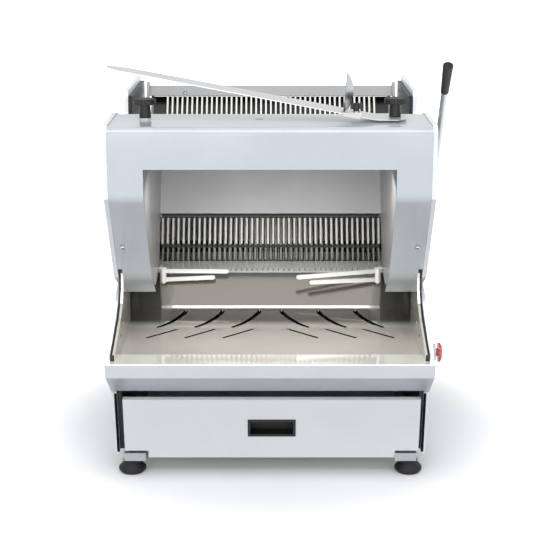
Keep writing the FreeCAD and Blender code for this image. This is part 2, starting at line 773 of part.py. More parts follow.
def crankshaft():
    """Built-up crankshaft with two opposite throws, and a roller on each throw."""
    centre, half = -size.crank_drop, size.yoke_thick
    pieces = []
    rollers = []
    for side in (-1, 1):
        inner, outer = side * (size.yoke_place - half), side * (size.yoke_place + half)
        offset = -side * size.crank_throw
        cheeks = [(inner - side * size.cheek_thick, inner), (outer, outer + side * size.cheek_thick)]
        for pair in cheeks:
            low, high = sorted(pair)
            pieces.append(bar_x(low, high, 0, centre, size.crank_cheek))
        low, high = sorted((inner, outer))
        pieces.append(bar_x(low, high, offset, centre, size.crank_pin))
        ring = bar_x(low + 1, high - 1, offset, centre, size.roller_radius)
        rollers.append(ring.cut(bar_x(low, high, offset, centre, size.crank_pin)))
    cheek_in = size.yoke_place - half - size.cheek_thick
    cheek_out = size.yoke_place + half + size.cheek_thick
    pieces.append(bar_x(-cheek_in, cheek_in, 0, centre, size.crank_journal))
    pieces.append(bar_x(-(size.bearing_place + size.bearing_wide), -cheek_out, 0, centre, size.crank_journal))
    pieces.append(bar_x(cheek_out, size.pulley_place + size.pulley_wide / 2, 0, centre, size.crank_journal))
    shaft = pieces[0]
    node("crankshaft", feature(shaft.fuse(pieces[1:])), "blade")
    node("crank_rollers", feature(Part.makeCompound(rollers)), "blade")


def crank_bearings():
    """Pillow blocks on two rails that cross the machine under the frames."""
    blocks = []
    for side in (-1, 1):
        place = side * size.bearing_place
        low, high = place - size.bearing_wide / 2, place + size.bearing_wide / 2
        block_shape = boxed((low, -size.bearing_half, -size.crank_drop - 37),
                            (high, size.bearing_half, -size.crank_drop + 20))
        blocks.append(block_shape.cut(bar_x(low, high, 0, -size.crank_drop,
                                            size.crank_journal + size.running)))
    rails = []
    for low_y, high_y in (("-bearing_half - rail_side", "-bearing_half"), ("bearing_half",
                                                                         "bearing_half + rail_side")):
        rails.append(block(("-(%s)" % INSIDE, low_y, "-crank_drop - 37"),
                           (INSIDE, high_y, "-crank_drop - 37 + rail_side")))
    node("crank_bearings", grouped([feature(Part.makeCompound(blocks))] + rails), "blade")


def frame_guides():
    """Plastic guides on the side plates, with a groove for the edge of each frame's posts."""
    near, far = size.frame_half - 7, size.half_width - size.skin - size.wall
    depth = size.blade_width / 2 + size.frame_gap + size.bar_thick + 2
    inner = size.blade_width / 2 + size.frame_gap
    solids = []
    for low in (20, 235):
        guide = boxed((near, -depth, low), (far, depth, low + 25))
        for sign in (-1, 1):
            ends = sorted((sign * (inner - size.seam), sign * (inner + size.bar_thick + size.seam)))
            guide = guide.cut(boxed((near - 1, ends[0], low - 1), (size.frame_half + size.seam, ends[1], low + 26)))
        solids += both_sides(guide)
    node("frame_guides", feature(Part.makeCompound(solids)), "blade")


# --- motor drive ---

def crank_centre():
    lean = math.radians(size.blade_lean)
    return (size.blade_foot - size.crank_drop * math.sin(lean), size.bed_height - size.crank_drop * math.cos(lean))


def pulley(y, z, radius, bore):
    """Flanged pulley about X, with a groove for the belt."""
    low = size.pulley_place - size.pulley_wide / 2
    high = size.pulley_place + size.pulley_wide / 2
    groove = radius - size.belt_thick - size.seam
    wheel = bar_x(low, high, y, z, groove)
    for edge in (low, high - 2):
        wheel = wheel.fuse(bar_x(edge, edge + 2, y, z, radius + size.belt_thick / 2))
    return wheel.cut(bar_x(low - 1, high + 1, y, z, bore))


def motor_drive():
    crank_y, crank_z = crank_centre()
    node("crank_pulley", feature(pulley(0, -size.crank_drop, size.crank_pulley, size.crank_journal)), "blade")
    bore = 7
    low = size.pulley_place - size.pulley_wide / 2
    shaft_end = size.pulley_place + size.pulley_wide / 2
    body_high = low - 14
    body = bar_x(body_high - size.motor_length, body_high, size.motor_back, size.motor_height, size.motor_radius)
    fan = bar_x(body_high - size.motor_length - 30, body_high - size.motor_length, size.motor_back,
                size.motor_height, size.motor_radius - 4)
    bore_cut = bar_x(body_high - 60, body_high, size.motor_back, size.motor_height, bore + size.running)
    node("motor", feature(body.fuse(fan).cut(bore_cut)))
    wheel = pulley(size.motor_back, size.motor_height, size.motor_pulley, bore)
    spindle = bar_x(body_high - 60, shaft_end, size.motor_back, size.motor_height, bore)
    node("motor_pulley", feature(wheel.fuse(spindle)))
    floor = size.base_under + size.pan_sheet
    foot_y = size.motor_radius * 0.75
    cradle = boxed((body_high - size.motor_length + 15, size.motor_back - foot_y, floor),
                   (body_high - 15, size.motor_back + foot_y, size.motor_height))
    node("motor_cradle", feature(cradle.cut(bar_x(body_high - size.motor_length, body_high, size.motor_back,
                                                 size.motor_height, size.motor_radius))))
    node("drive_belt", feature(belt((crank_y, crank_z), (size.motor_back, size.motor_height))))


def belt(first, second):
    """A closed belt round both pulleys, with the small gap that keeps it off their grooves."""
    def loop(grow):
        radii = (size.crank_pulley - size.belt_thick + grow, size.motor_pulley - size.belt_thick + grow)
        centres = (Vector(0, *first), Vector(0, *second))
        line = centres[1] - centres[0]
        tilt = math.atan2(line.z, line.y)
        spread = math.acos((radii[0] - radii[1]) / line.Length)
        corners = []
        for sign in (1, -1):
            for centre, radius in zip(centres, radii):
                angle = tilt + sign * spread
                corners.append(centre + Vector(0, math.cos(angle), math.sin(angle)) * radius)
        far = centres[1] + line.normalize() * radii[1]
        near = centres[0] - (centres[1] - centres[0]).normalize() * radii[0]
        edges = [Part.LineSegment(corners[0], corners[1]).toShape(),
                 Part.Arc(corners[1], far, corners[3]).toShape(),
                 Part.LineSegment(corners[3], corners[2]).toShape(),
                 Part.Arc(corners[2], near, corners[0]).toShape()]
        return Part.Face(Part.Wire(edges))

    band = loop(size.belt_thick).cut(loop(0))
    band.translate(Vector(size.pulley_place - size.belt_wide / 2, 0, 0))
    return band.extrude(Vector(size.belt_wide, 0, 0))


# --- pusher rake ---

def rake_point(back, up):
    """A point of the rake's own frame, in machine (y, z)."""
    lean = math.radians(size.rake_lean)
    return (size.rake_foot + back * math.cos(lean) + up * math.sin(lean),
            size.rake_foot_height - back * math.sin(lean) + up * math.cos(lean))


def rake():
    count = int(size.blade_count) + 1
    tine = flat_shape([(0, 0), (0, size.tine_length), (size.tine_slim, size.tine_length), (size.tine_slim, 120),
                       (size.tine_deep, 64), (size.tine_deep, 40)], -size.tine_thick / 2, size.tine_thick / 2)
    solids = []
    for k in range(count):
        copy = tine.copy()
        copy.translate(Vector((k - (count - 1) / 2) * size.slice_pitch, 0, 0))
        solids.append(copy)
    node("rake_tines", feature(Part.makeCompound(solids)), "rake")
    bars = [block(("-cheek_place", "tine_deep", "40"), ("cheek_place", "tine_deep + cross_bar",
                                                        "40 + cross_tall")),
            block(("-cheek_place", "tine_slim", "250"), ("cheek_place", "tine_slim + cross_bar",
                                                         "250 + cross_tall")),
            block(("-cheek_place", "tine_slim", "plate_low - plate_back"),
                  ("cheek_place", "tine_slim + plate_sheet", "plate_low + cross_bar"))]
    node("rake_cross_bars", grouped(bars), "rake")
    front = block(("-plate_half", "-plate_sheet", "plate_low"), ("plate_half", "0", "tine_length + 3"))
    top = block(("-plate_half", "0", "tine_length"), ("plate_half", "tine_slim + 4", "tine_length + 3"))
    flanges = [block(("-plate_half", "-plate_flange * 2", "plate_low - plate_flange * 2"),
                     ("-plate_half + plate_flange", "0", "tine_length + plate_flange")),
               block(("plate_half - plate_flange", "-plate_flange * 2", "plate_low - plate_flange * 2"),
                     ("plate_half", "0", "tine_length + plate_flange"))]
    node("rake_top_plate", joined([front, top] + flanges), "rake")


def carriage():
    """Side plates that carry the rake on its guide rods and take the push of the crank arms."""
    points = [(size.carriage_front, size.carriage_low), (size.carriage_back, size.carriage_low),
              (size.carriage_back, size.bed_height + 40), rake_point(size.tine_deep + 45, 120),
              rake_point(size.tine_slim + size.cross_bar, 300),
              rake_point(size.tine_slim + size.cross_bar, size.plate_low + size.cross_bar),
              rake_point(size.tine_slim + 4, size.tine_length), rake_point(size.tine_slim - 4, size.tine_length),
              rake_point(size.tine_slim - 4, 140),
              rake_point(size.tine_deep - 2, 64), rake_point(size.tine_deep - 2, 30),
              (size.carriage_front, size.carriage_low + 40)]
    low, high = size.cheek_place, size.cheek_place + size.carriage_sheet
    solid = flat_shape(points, low, high)
    arm = size.push_travel / 2 / math.sin(math.radians(size.lever_swing / 2))
    swing = math.radians(size.lever_swing / 2)
    pin_y = size.shaft_back + size.push_travel / 2
    pin_low = size.shaft_height + arm * math.cos(swing)
    pin_high = size.shaft_height + arm
    half = size.push_roller + size.push_play
    slot = boxed((low - 1, pin_y - half, pin_low - half), (high + 1, pin_y + half, pin_high + half))
    solid = solid.cut(slot)
    block_y = (size.carriage_front + size.carriage_back - size.bush_long) / 2
    bush = boxed((size.rod_place - 13, block_y, size.rod_height - 15),
                 (low, block_y + size.bush_long, size.rod_height + 15))
    hole = Part.makeCylinder(size.rod_radius + size.running, size.bush_long + 2,
                             Vector(size.rod_place, block_y - 1, size.rod_height), Vector(0, 1, 0))
    bush = bush.cut(hole)
    node("carriage_plates", feature(Part.makeCompound(both_sides(solid))))
    node("slide_bushes", feature(Part.makeCompound(both_sides(bush))))


def guide_rods():
    rods = []
    brackets = []
    for sign in ("-", "0 + "):
        rods.append(rod("y", (sign + "rod_place", "rod_front", "rod_height"), "rod_back + rod_bracket - rod_front",
                        "rod_radius"))
    for side in SIDES:
        near, far = span(side, "rod_place - 13", INSIDE)
        sign = "-" if side == "left" else "0 + "
        for place in ("rod_front", "rod_back"):
            bracket = block((near, place, "rod_height - 18"), (far, place + " + rod_bracket", "rod_height + 18"))
            brackets.append(cut(bracket, [rod("y", (sign + "rod_place", place + " - 1", "rod_height"),
                                              "rod_bracket + 2", "rod_radius")]))
    node("guide_rods", grouped(rods + brackets))


# --- lever and its shaft ---

def lever():
    node("lever_shaft", rod("x", ("-(half_width - skin - 5)", "0", "0"), "half_width - skin - 5 + hub_outer - 4",
                            "shaft_radius"), "handle")
    hub = cut(rod("x", ("hub_inner", "0", "0"), "hub_outer - hub_inner", "hub_radius"),
              [rod("x", ("hub_inner - 1", "0", "0"), "hub_outer - 4 - hub_inner + 1", "shaft_radius")])
    stem = rod("z", ("lever_place", "0", "shaft_radius + 4"), "lever_length - grip_length / 2 - shaft_radius - 4",
               "lever_radius")
    node("lever_arm", joined([hub, stem]), "handle")
    grip = turned([("0", "lever_length - grip_length"), ("grip_low", "lever_length - grip_length"),
                   ("grip_top", "lever_length - 1.5"), ("grip_top - 1.5", "lever_length"),
                   ("0", "lever_length")])
    moved = doc.addObject("Part::Compound", "Moved")
    moved.Links = [grip]
    bind(moved, Placement__Base__x="lever_place")
    bore = rod("z", ("lever_place", "0", "lever_length - grip_length - 1"), "grip_length / 2 + 1", "lever_radius")
    node("lever_grip", cut(moved, [bore]), "handle")


def crank_arms():
    """Arms on the lever shaft, each with a roller that runs in the carriage plate's slot."""
    arm = size.push_travel / 2 / math.sin(math.radians(size.lever_swing / 2))
    low, high = size.arm_place, size.arm_place + size.arm_thick
    hub = bar_x(low, high, 0, 0, size.hub_radius)
    web = boxed((low, -10, 0), (high, 10, arm))
    eye = bar_x(low, high, 0, arm, 12)
    solid = hub.fuse([web, eye]).cut(bar_x(low - 1, high + 1, 0, 0, size.shaft_radius))
    solid = solid.cut(bar_x(low - 1, high + 1, 0, arm, 4))
    pin = bar_x(size.cheek_place - 2, high, 0, arm, 4)
    node("crank_arms", feature(Part.makeCompound(both_sides(solid.fuse(pin)))), "crank_arm")
    roller = bar_x(size.cheek_place - 1, low - 1, 0, arm, size.push_roller).cut(
        bar_x(size.cheek_place - 2, low, 0, arm, 4))
    node("arm_rollers", feature(Part.makeCompound(both_sides(roller))), "crank_arm")


def shaft_bushes():
    bushes = []
    for side in SIDES:
        low, high = span(side, INSIDE + " - 3", INNER)
        ring = rod("x", (low, "shaft_back", "shaft_height"), "wall + 3", "bush_outer")
        bushes.append(cut(ring, [rod("x", (low + " - 1", "shaft_back", "shaft_height"), "wall + 5",
                                     "shaft_radius + running")]))
    node("shaft_bushes", grouped(bushes))


# --- loading bed and flap ---

def loading_bed():
    """Bed under the loaf, slotted for every blade, on a web and a cross beam."""
    top = size.bed_height
    shape = boxed((-size.bed_half, size.bed_front, top - size.bed_sheet), (size.bed_half, size.bed_back, top))
    lip = boxed((-size.bed_half, size.bed_front, top - 8), (size.bed_half, size.bed_front + 1.5, top))
    shape = shape.fuse(lip)
    lean = math.radians(size.blade_lean)
    half = (size.blade_width / 2 + 2) / math.cos(lean)
    slots = []
    for k in range(int(size.blade_count)):
        x = (k - (size.blade_count - 1) / 2) * size.slice_pitch
        slots.append(boxed((x - size.bed_slot / 2, size.blade_foot - half - 3, top - size.bed_sheet - 1),
                           (x + size.bed_slot / 2, size.blade_foot + half + 2, top + 1)))
    node("loading_bed", feature(shape.cut(Part.makeCompound(slots))))
    web = block(("-bed_half", "beam_front + beam_side - sheet", "beam_under + beam_side"),
                ("bed_half", "beam_front + beam_side", "bed_height - bed_sheet"))
    beam = block(("-(%s)" % INSIDE, "beam_front", "beam_under"), (INSIDE, "beam_front + beam_side",
                                                                 "beam_under + beam_side"))
    hollow = block(("-(%s) - 1" % INSIDE, "beam_front + sheet", "beam_under + sheet"),
                   ("%s + 1" % INSIDE, "beam_front + beam_side - sheet", "beam_under + beam_side - sheet"))
    node("bed_beam", grouped([cut(beam, [hollow]), web]))


def flap():
    """Hinged comb in front of the blades that swings out as the slices leave."""
    top, length = size.flap_top, size.flap_length
    low_y, high_y = -size.flap_offset - size.flap_thick / 2, -size.flap_offset + size.flap_thick / 2
    wide = size.bed_half - 6
    pieces = [boxed((-wide, low_y, top - length), (wide, high_y, top - length + 5))]
    for k in range(int(size.blade_count)):
        x = (k - (size.blade_count - 1) / 2) * size.slice_pitch
        pieces.append(boxed((x - size.flap_bar / 2, low_y, top - length), (x + size.flap_bar / 2, high_y, top)))
    pieces.append(bar_x(-wide, wide, -size.flap_offset, top + size.flap_pin, size.flap_pin + 1.5))
    shape = pieces[-1].fuse(pieces[:-1])
    bore = bar_x(-wide - 1, wide + 1, -size.flap_offset, top + size.flap_pin, size.flap_pin)
    node("outfeed_flap", feature(shape.cut(bore)), "blade")
    pin = bar_x(-size.window_half, size.window_half, -size.flap_offset, top + size.flap_pin,
                size.flap_pin - size.running)
    node("flap_pin", feature(pin), "blade")


def slice_arms():
    """Two-fingered arms that steady the end slices at the mouth of the blades, on upright pins."""
    z = size.arm_pivot_height
    x, y = size.window_half - size.pivot_inset, size.arm_pivot_back
    spread, tall, thick = size.finger_spread / 2, size.finger_tall / 2, size.finger_thick
    hangers = []
    for side, sign in SIDES.items():
        reach = size.holder_left if side == "left" else size.holder_right
        hub = Part.makeCylinder(7, 32, Vector(0, 0, -16))
        fingers = [finger(spread, spread - 1, reach, tall, thick),
                   finger(-spread, -spread + 5, reach - size.finger_short, tall, thick)]
        shape = hub.fuse(fingers).cut(Part.makeCylinder(3 + size.running, 80, Vector(0, 0, -40)))
        shape.rotate(Vector(0, 0, 0), Vector(0, 0, 1), 0 if side == "left" else size.holder_turn)
        shape.translate(Vector(x, y, z))
        node("slice_arm_" + side, feature(shape if sign > 0 else mirrored(shape)))
        bracket = boxed((x - 8, y - 8, z + 16 + size.seam), (size.window_half, y + 8, z + 20))
        pin = Part.makeCylinder(3, 36 + size.seam * 2, Vector(x, y, z - 18 - size.seam))
        head = Part.makeCylinder(5.5, 2, Vector(x, y, z - 18 - size.seam))
        piece = bracket.fuse([pin, head])
        hangers.append(piece if sign > 0 else mirrored(piece))
    node("slice_arm_pivots", feature(Part.makeCompound(hangers)))


def finger(root, tip, reach, tall, thick):
    """A flat bar from the hub to a rounded tip, given by its heights at both ends."""
    section = outline_face([(0, root - tall), (-reach + tall, tip - tall), (-reach + tall, tip + tall),
                            (0, root + tall)])
    bar = section.extrude(Vector(0, thick, 0))
    bar = bar.fuse(Part.makeCylinder(tall, thick, Vector(-reach + tall, 0, tip), Vector(0, 1, 0)))
    bar.translate(Vector(0, -thick / 2, 0))
    return bar


def outline_face(points):
    """A face in the XZ plane from (x, z) points."""
    corners = [Vector(x, 0, z) for x, z in points]
    return Part.Face(Part.makePolygon(corners + corners[:1]))


# --- crumb drawer ---

def drawer():
    """Crumb drawer: sloping front panel with a recessed pull, and a sheet tray behind it."""
    low, high = "-drawer_half + drawer_shift", "drawer_half + drawer_shift"
    panel = block((low, "0", "0"), (high, "drawer_panel", "drawer_tall"))
    notches = [block((high + " - notch_wide", "-1", "-1"), (high + " + 9", "drawer_panel + 1", "notch_tall")),
               block((low + " - 9", "-1", "-1"), (low + " + notch_wide", "drawer_panel + 1", "notch_tall"))]
    pull_low, pull_high = "-pull_half + drawer_shift", "pull_half + drawer_shift"
    opening = block((pull_low + " + 3", "-1", "pull_low + 3"),
                    (pull_high + " - 3", "drawer_panel + 1", "pull_low + pull_tall - 3"))
    node("drawer_front", cut(panel, notches + [opening]), "drawer")
    flange = block((pull_low, "-1.5", "pull_low"), (pull_high, "0", "pull_low + pull_tall"))
    shell = block((pull_low + " + 3", "-1", "pull_low + 3"), (pull_high + " - 3", "pull_deep",
                                                              "pull_low + pull_tall - 3"))
    recess = block((pull_low + " + 3 + pull_wall", "-2", "pull_low + 3 + pull_wall"),
                   (pull_high + " - 3 - pull_wall", "pull_deep - pull_wall", "pull_low + pull_tall - 3 - pull_wall"))
    node("drawer_pull", cut(joined([flange, shell]), [recess]), "drawer")

    slant = (size.front_foot - size.front_head) / (size.front_opening - size.base_under)

    def behind(height, depth):
        return size.front_foot - (height - size.base_under) * slant + depth

    back = size.front_foot + size.drawer_panel + size.drawer_depth
    panel_back = size.drawer_panel * math.sqrt(1 + slant * slant)
    side_low, side_high = -size.drawer_half + 26 + size.drawer_shift, size.drawer_half - 26 + size.drawer_shift
    thick = size.drawer_sheet

    def box_of(inset, top, grow):
        bottom = size.drawer_floor + grow
        return flat_shape([(behind(bottom, panel_back + inset), bottom), (back - inset, bottom),
                           (back - inset, top), (behind(top, panel_back + inset), top)],
                          side_low + inset, side_high - inset)

    tray = box_of(0, size.drawer_wall_top, 0).cut(box_of(thick, size.drawer_wall_top + 5, thick))
    node("drawer_tray", feature(tray))
    rails = []
    start, floor = size.front_foot + size.drawer_panel + 8, size.base_under + size.pan_sheet
    for low, high, inner in ((side_high + size.seam, size.half_width - size.skin - size.wall, -1),
                             (-(size.half_width - size.skin - size.wall), side_low - size.seam, 1)):
        ledge_low, ledge_high = (low - 12, high) if inner < 0 else (low, high + 12)
        ledge = boxed((ledge_low, start, floor), (ledge_high, back + 12, size.drawer_floor - size.seam))
        guide = boxed((low, start, floor), (high, back + 12, size.drawer_floor + 14))
        rails.append(ledge.fuse(guide))
    stop = boxed((side_low + 40, back + size.seam, floor), (side_high - 40, back + 4, size.drawer_floor + 20))
    node("drawer_runners", feature(Part.makeCompound(rails + [stop])))


# --- pieces on the hood, and the stop button ---

def knobs():
    """Moulded clamping knobs: a waisted leg under a head with six finger hollows."""
    foot = "hood_crown + collar_tall + scoop_sheet + 2 * seam"
    for side, sign in SIDES.items():
        start = foot if sign > 0 else "hood_crown + collar_tall + seam"
        profile = [("0", "0"), ("knob_leg", "0"), ("knob_leg - 1", "knob_tall - knob_head_tall"),
                   ("knob_head - 1", "knob_tall - knob_head_tall"),
                   ("knob_head", "knob_tall - knob_head_tall + 1.5"),
                   ("knob_head", "knob_tall - 1.5"), ("knob_head - 2", "knob_tall"), ("0", "knob_tall")]
        body = turned(profile)
        tools = [rod("z", ("0", "0", "-1"), "27", "knob_stud + running")]
        for k in range(6):
            angle = math.radians(60 * k + 30)
            hollow = rod("z", ("(knob_head + 4) * %.4f" % math.cos(angle), "(knob_head + 4) * %.4f" % math.sin(angle),
                               "knob_tall - knob_head_tall - 1"), "knob_head_tall + 3", "6.5")
            tools.append(hollow)
        knob = grouped([cut(body, tools)])
        bind(knob.Links[0], Placement__Base__x="%s knob_side" % ("-" if sign < 0 else "0 +"),
             Placement__Base__y="knob_back", Placement__Base__z=start)
        node("knob_" + side, knob)


def scoop():
    """Bagging scoop: a long sheet that rises from its clamped tab, with a leaf held by a clip."""
    base = size.hood_crown + size.collar_tall + size.seam
    rise = (size.scoop_rise - 8) / (size.scoop_left + size.scoop_bend)
    path = [(size.scoop_right, base + size.scoop_sheet / 2, 0), (size.scoop_bend, base + size.scoop_sheet / 2, 40),
            (-size.scoop_left, base + size.scoop_rise, 0)]
    section = bent_face(path, size.scoop_sheet)
    section.rotate(Vector(0, 0, 0), Vector(1, 0, 0), 90)
    section.translate(Vector(0, size.scoop_front + size.scoop_wide, 0))
    strip = section.extrude(Vector(0, -size.scoop_wide, 0))
    front, back = size.scoop_front, size.scoop_front + size.scoop_wide
    plan = [(size.scoop_right, front + 20), (size.scoop_right - 20, front), (-size.scoop_left + 30, front),
            (-size.scoop_left, front + 22), (-size.scoop_left, back - 38), (-size.scoop_left + 40, back - 18),
            (size.scoop_right - 20, back), (size.scoop_right, back - 20)]
    loop = Part.makePolygon([Vector(x, y, base - 20) for x, y in plan + plan[:1]])
    strip = strip.common(Part.Face(loop).extrude(Vector(0, 0, 300)))
    hole = Part.makeCylinder(size.knob_stud + size.running, 60, Vector(size.knob_side, size.knob_back, base - 20))
    node("scoop", feature(strip.cut(hole)))

    tilt = math.atan2(size.scoop_rise - size.scoop_sheet / 2, size.scoop_bend + size.scoop_left)
    x = size.fin_place
    under = base + size.scoop_sheet / 2 + (size.scoop_bend - x) * math.tan(tilt)
    half = size.scoop_sheet / 2 + size.seam
    clip = boxed((-18, -7, -half - 3), (18, 30, half + 3)).cut(boxed((-19, -size.seam, -half), (19, 31, half)))
    clip.rotate(Vector(0, 0, 0), Vector(0, 1, 0), math.degrees(tilt))
    clip.translate(Vector(x, size.scoop_front, under))
    below = boxed((-60, -60, -90), (60, 60, half))
    below.rotate(Vector(0, 0, 0), Vector(0, 1, 0), math.degrees(tilt))
    below.translate(Vector(x, size.scoop_front, under))
    top = under + half + 5
    pad = boxed((x - 15, size.scoop_front - 5, top - 12), (x + 20, size.scoop_front + 30, top))
    lift = size.fin_tall
    wide = size.fin_wide
    foot, peak, heel = Vector(0, -wide * 0.42, 0), Vector(0, -wide * 0.1, lift), Vector(0, wide * 0.05, lift * 0.1)
    curve = Part.BSplineCurve()
    curve.interpolate([peak, Vector(0, wide * 0.28, lift * 0.76), Vector(0, wide * 0.4, lift * 0.52),
                       Vector(0, wide * 0.25, lift * 0.27), heel])
    edges = [Part.makeLine(foot, peak), curve.toShape(), Part.makeLine(heel, foot)]
    leaf = Part.Face(Part.Wire(edges)).extrude(Vector(1.6, 0, 0))
    leaf.rotate(Vector(0, 0, 0), Vector(0, 0, 1), -42)
    leaf.translate(Vector(x - 6, size.scoop_front + 20, top - 1))
    stud_x, stud_y = x + 10, size.scoop_front + 8
    stud = Part.makeCylinder(2.5, 15, Vector(stud_x, stud_y, top - 2))
    washer = Part.makeCylinder(7, 1.5, Vector(stud_x, stud_y, top))
    node("scoop_clip", feature(clip.fuse([pad.cut(below), leaf.cut(below), stud, washer])))
    hub = Part.makeCylinder(6, 14, Vector(0, 0, 0))
    wings = [Part.makeBox(24, 5, 12, Vector(-12, -2.5, 4))]
    wing_shape = hub.fuse(wings).cut(Part.makeCylinder(2.5 + size.running, 13, Vector(0, 0, -1)))
    wing_shape.translate(Vector(stud_x, stud_y, top + 1.5 + size.seam))
    node("wing_knob", feature(wing_shape))


def stop_button():
    """Mushroom stop button on the right side, with its collar and stem."""
    y, z, start = size.stop_back, size.stop_height, size.half_width
    collar = bar_x(start, start + size.stop_collar, y, z, size.stop_radius - 2)
    barrel = bar_x(start - size.skin, start, y, z, size.stop_radius / 2)
    well = bar_x(start - 2, start + size.stop_collar + 1, y, z, 8 + size.seam)
    node("stop_collar", feature(collar.fuse(barrel).cut(well)))
    face = start + size.stop_collar + size.stop_press + size.seam
    end = start + size.stop_collar + size.stop_cap
    cap = bar_x(face, end - 3, y, z, size.stop_radius)
    crown = Part.makeCone(size.stop_radius, size.stop_radius - 4, 3, Vector(end - 3, y, z), Vector(1, 0, 0))
    cap = cap.fuse(crown)
    stem = bar_x(start + size.stop_press, face, y, z, 8)
    node("stop_button", feature(cap.fuse(stem)))


for build in (side_plates, side_casings, base, feet, apron, outfeed_tray, hood, tunnel_walls, blade_guards):
    build()
for frame_name, is_front in (("a", True), ("b", False)):
    blade_frame(frame_name, is_front)
    blades(frame_name, is_front)
for build in (crankshaft, crank_bearings, frame_guides, motor_drive, rake, carriage, guide_rods, lever,
              crank_arms, shaft_bushes, loading_bed, flap, slice_arms, drawer, knobs, scoop, stop_button):
    build()

doc.recompute()
failed = [thing.Label for thing in doc.Objects if "Invalid" in thing.State or "Error" in thing.State]
assert not failed, failed
for label, thing in NODES.items():
    assert not thing.Shape.isNull() and thing.Shape.isValid(), label

os.makedirs("parts", exist_ok=True)
for label, thing in NODES.items():
    thing.Shape.exportStep("parts/%s.step" % label)
print(len(NODES), "nodes")
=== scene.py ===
# %% [markdown]
# # A counter-top bread slicer
# This lesson dresses a finished CAD model of a bakery bread slicer. The machine is about 66 cm
# wide: a painted hood stands over a stainless trough, two frames of thin blades slide up and down
# behind the hood's window, and a rake of light tines pushes the loaf through them when the lever
# comes down. The CAD pieces already have the right shapes and places, so most of the work here is
# finishes, light and the small hardware that a drawing leaves out.

# %% Load the fixed frame
import json
import math

import bmesh
import bpy
import numpy as np
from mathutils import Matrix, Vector


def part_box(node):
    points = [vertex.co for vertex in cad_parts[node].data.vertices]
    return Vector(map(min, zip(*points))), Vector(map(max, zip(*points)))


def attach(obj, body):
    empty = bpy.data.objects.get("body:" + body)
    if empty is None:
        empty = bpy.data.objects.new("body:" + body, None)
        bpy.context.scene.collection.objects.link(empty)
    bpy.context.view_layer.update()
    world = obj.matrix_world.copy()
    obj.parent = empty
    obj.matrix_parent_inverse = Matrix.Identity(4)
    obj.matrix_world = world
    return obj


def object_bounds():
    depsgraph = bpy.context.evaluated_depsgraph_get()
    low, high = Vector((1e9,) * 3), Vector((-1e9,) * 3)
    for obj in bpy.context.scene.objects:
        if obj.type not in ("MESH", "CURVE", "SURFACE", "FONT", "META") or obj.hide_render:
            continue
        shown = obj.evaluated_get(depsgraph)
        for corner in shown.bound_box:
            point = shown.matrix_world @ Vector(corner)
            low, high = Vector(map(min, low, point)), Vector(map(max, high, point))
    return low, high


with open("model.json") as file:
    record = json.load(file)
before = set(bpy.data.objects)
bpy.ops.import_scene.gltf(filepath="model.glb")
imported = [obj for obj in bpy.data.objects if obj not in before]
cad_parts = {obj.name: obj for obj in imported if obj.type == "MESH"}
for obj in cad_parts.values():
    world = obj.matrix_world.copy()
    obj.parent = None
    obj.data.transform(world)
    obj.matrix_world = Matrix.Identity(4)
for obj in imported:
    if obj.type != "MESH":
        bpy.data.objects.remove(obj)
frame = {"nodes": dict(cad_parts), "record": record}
cad_box = [list(corner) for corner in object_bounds()]
parts = frame["nodes"]
size_mm = [round((high - low) * 1000) for low, high in zip(*cad_box)]
print(len(parts), "CAD pieces, box in mm:", size_mm)

# %% [markdown]
# ## Workshop measures
# The drawing counts X from the middle of the casing, Y from the front rim going back and Z from
# the counter, in millimetres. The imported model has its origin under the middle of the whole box,
# lever included, so one small function turns drawing measures into scene metres. Everything made
# below uses it, which keeps the numbers readable.

# %% From drawing millimetres to scene metres
CENTRE = np.array([12.65, 400.0, 9.0])
MM = 1000


def at(x, y, z):
    """A drawing point (mm) as scene metres: subtract the box's middle, divide by a thousand."""
    return (np.array([x, y, z], float) - CENTRE) / MM


print("front rim corner:", at(-330, 0, 300))

# %% [markdown]
# ## Helpers for surfaces
# New pieces are grids of points worked out with numpy and handed to Blender in one go. A grid with
# `rows` by `columns` points becomes quads between neighbours; closing it in one direction makes a
# tube. Working on whole arrays is quick and keeps each shape a single readable formula.

# %% A mesh from a grid of points
def grid_faces(rows, columns):
    """Quads (i, j), (i+1, j), (i+1, j+1), (i, j+1) of a grid whose last column meets the first."""
    i, j = (a.ravel() for a in np.meshgrid(np.arange(rows - 1), np.arange(columns), indexing="ij"))
    j2 = (j + 1) % columns
    return np.stack([i * columns + j, (i + 1) * columns + j, (i + 1) * columns + j2, i * columns + j2], 1)


def outward(obj):
    """Merges doubles and turns every face outwards."""
    work = bmesh.new()
    work.from_mesh(obj.data)
    bmesh.ops.remove_doubles(work, verts=work.verts, dist=1e-6)
    bmesh.ops.recalc_face_normals(work, faces=work.faces)
    work.to_mesh(obj.data)
    work.free()
    obj.data.update()


def make_piece(name, points, faces, material, body, slot, smooth=True):
    """One object at the origin whose place is in its mesh; normals point out of its closed shell."""
    mesh = bpy.data.meshes.new(name)
    corners = [tuple(p) for p in np.asarray(points, float)]
    mesh.from_pydata(corners, [], [list(map(int, face)) for face in faces])
    mesh.update()
    obj = bpy.data.objects.new(name, mesh)
    bpy.context.scene.collection.objects.link(obj)
    outward(obj)
    mesh.polygons.foreach_set("use_smooth", [smooth] * len(mesh.polygons))
    mesh.materials.append(material)
    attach(obj, body)


def join_shells(shells):
    """Stacks several (points, faces) shells into one pair, shifting the face numbers."""
    points, faces, start = [], [], 0
    for shell_points, shell_faces in shells:
        points.append(np.asarray(shell_points, float))
        faces += [[int(k) + start for k in face] for face in shell_faces]
        start += len(shell_points)
    return np.concatenate(points), faces


print("quads of a 3 by 4 tube:", len(grid_faces(3, 4)))

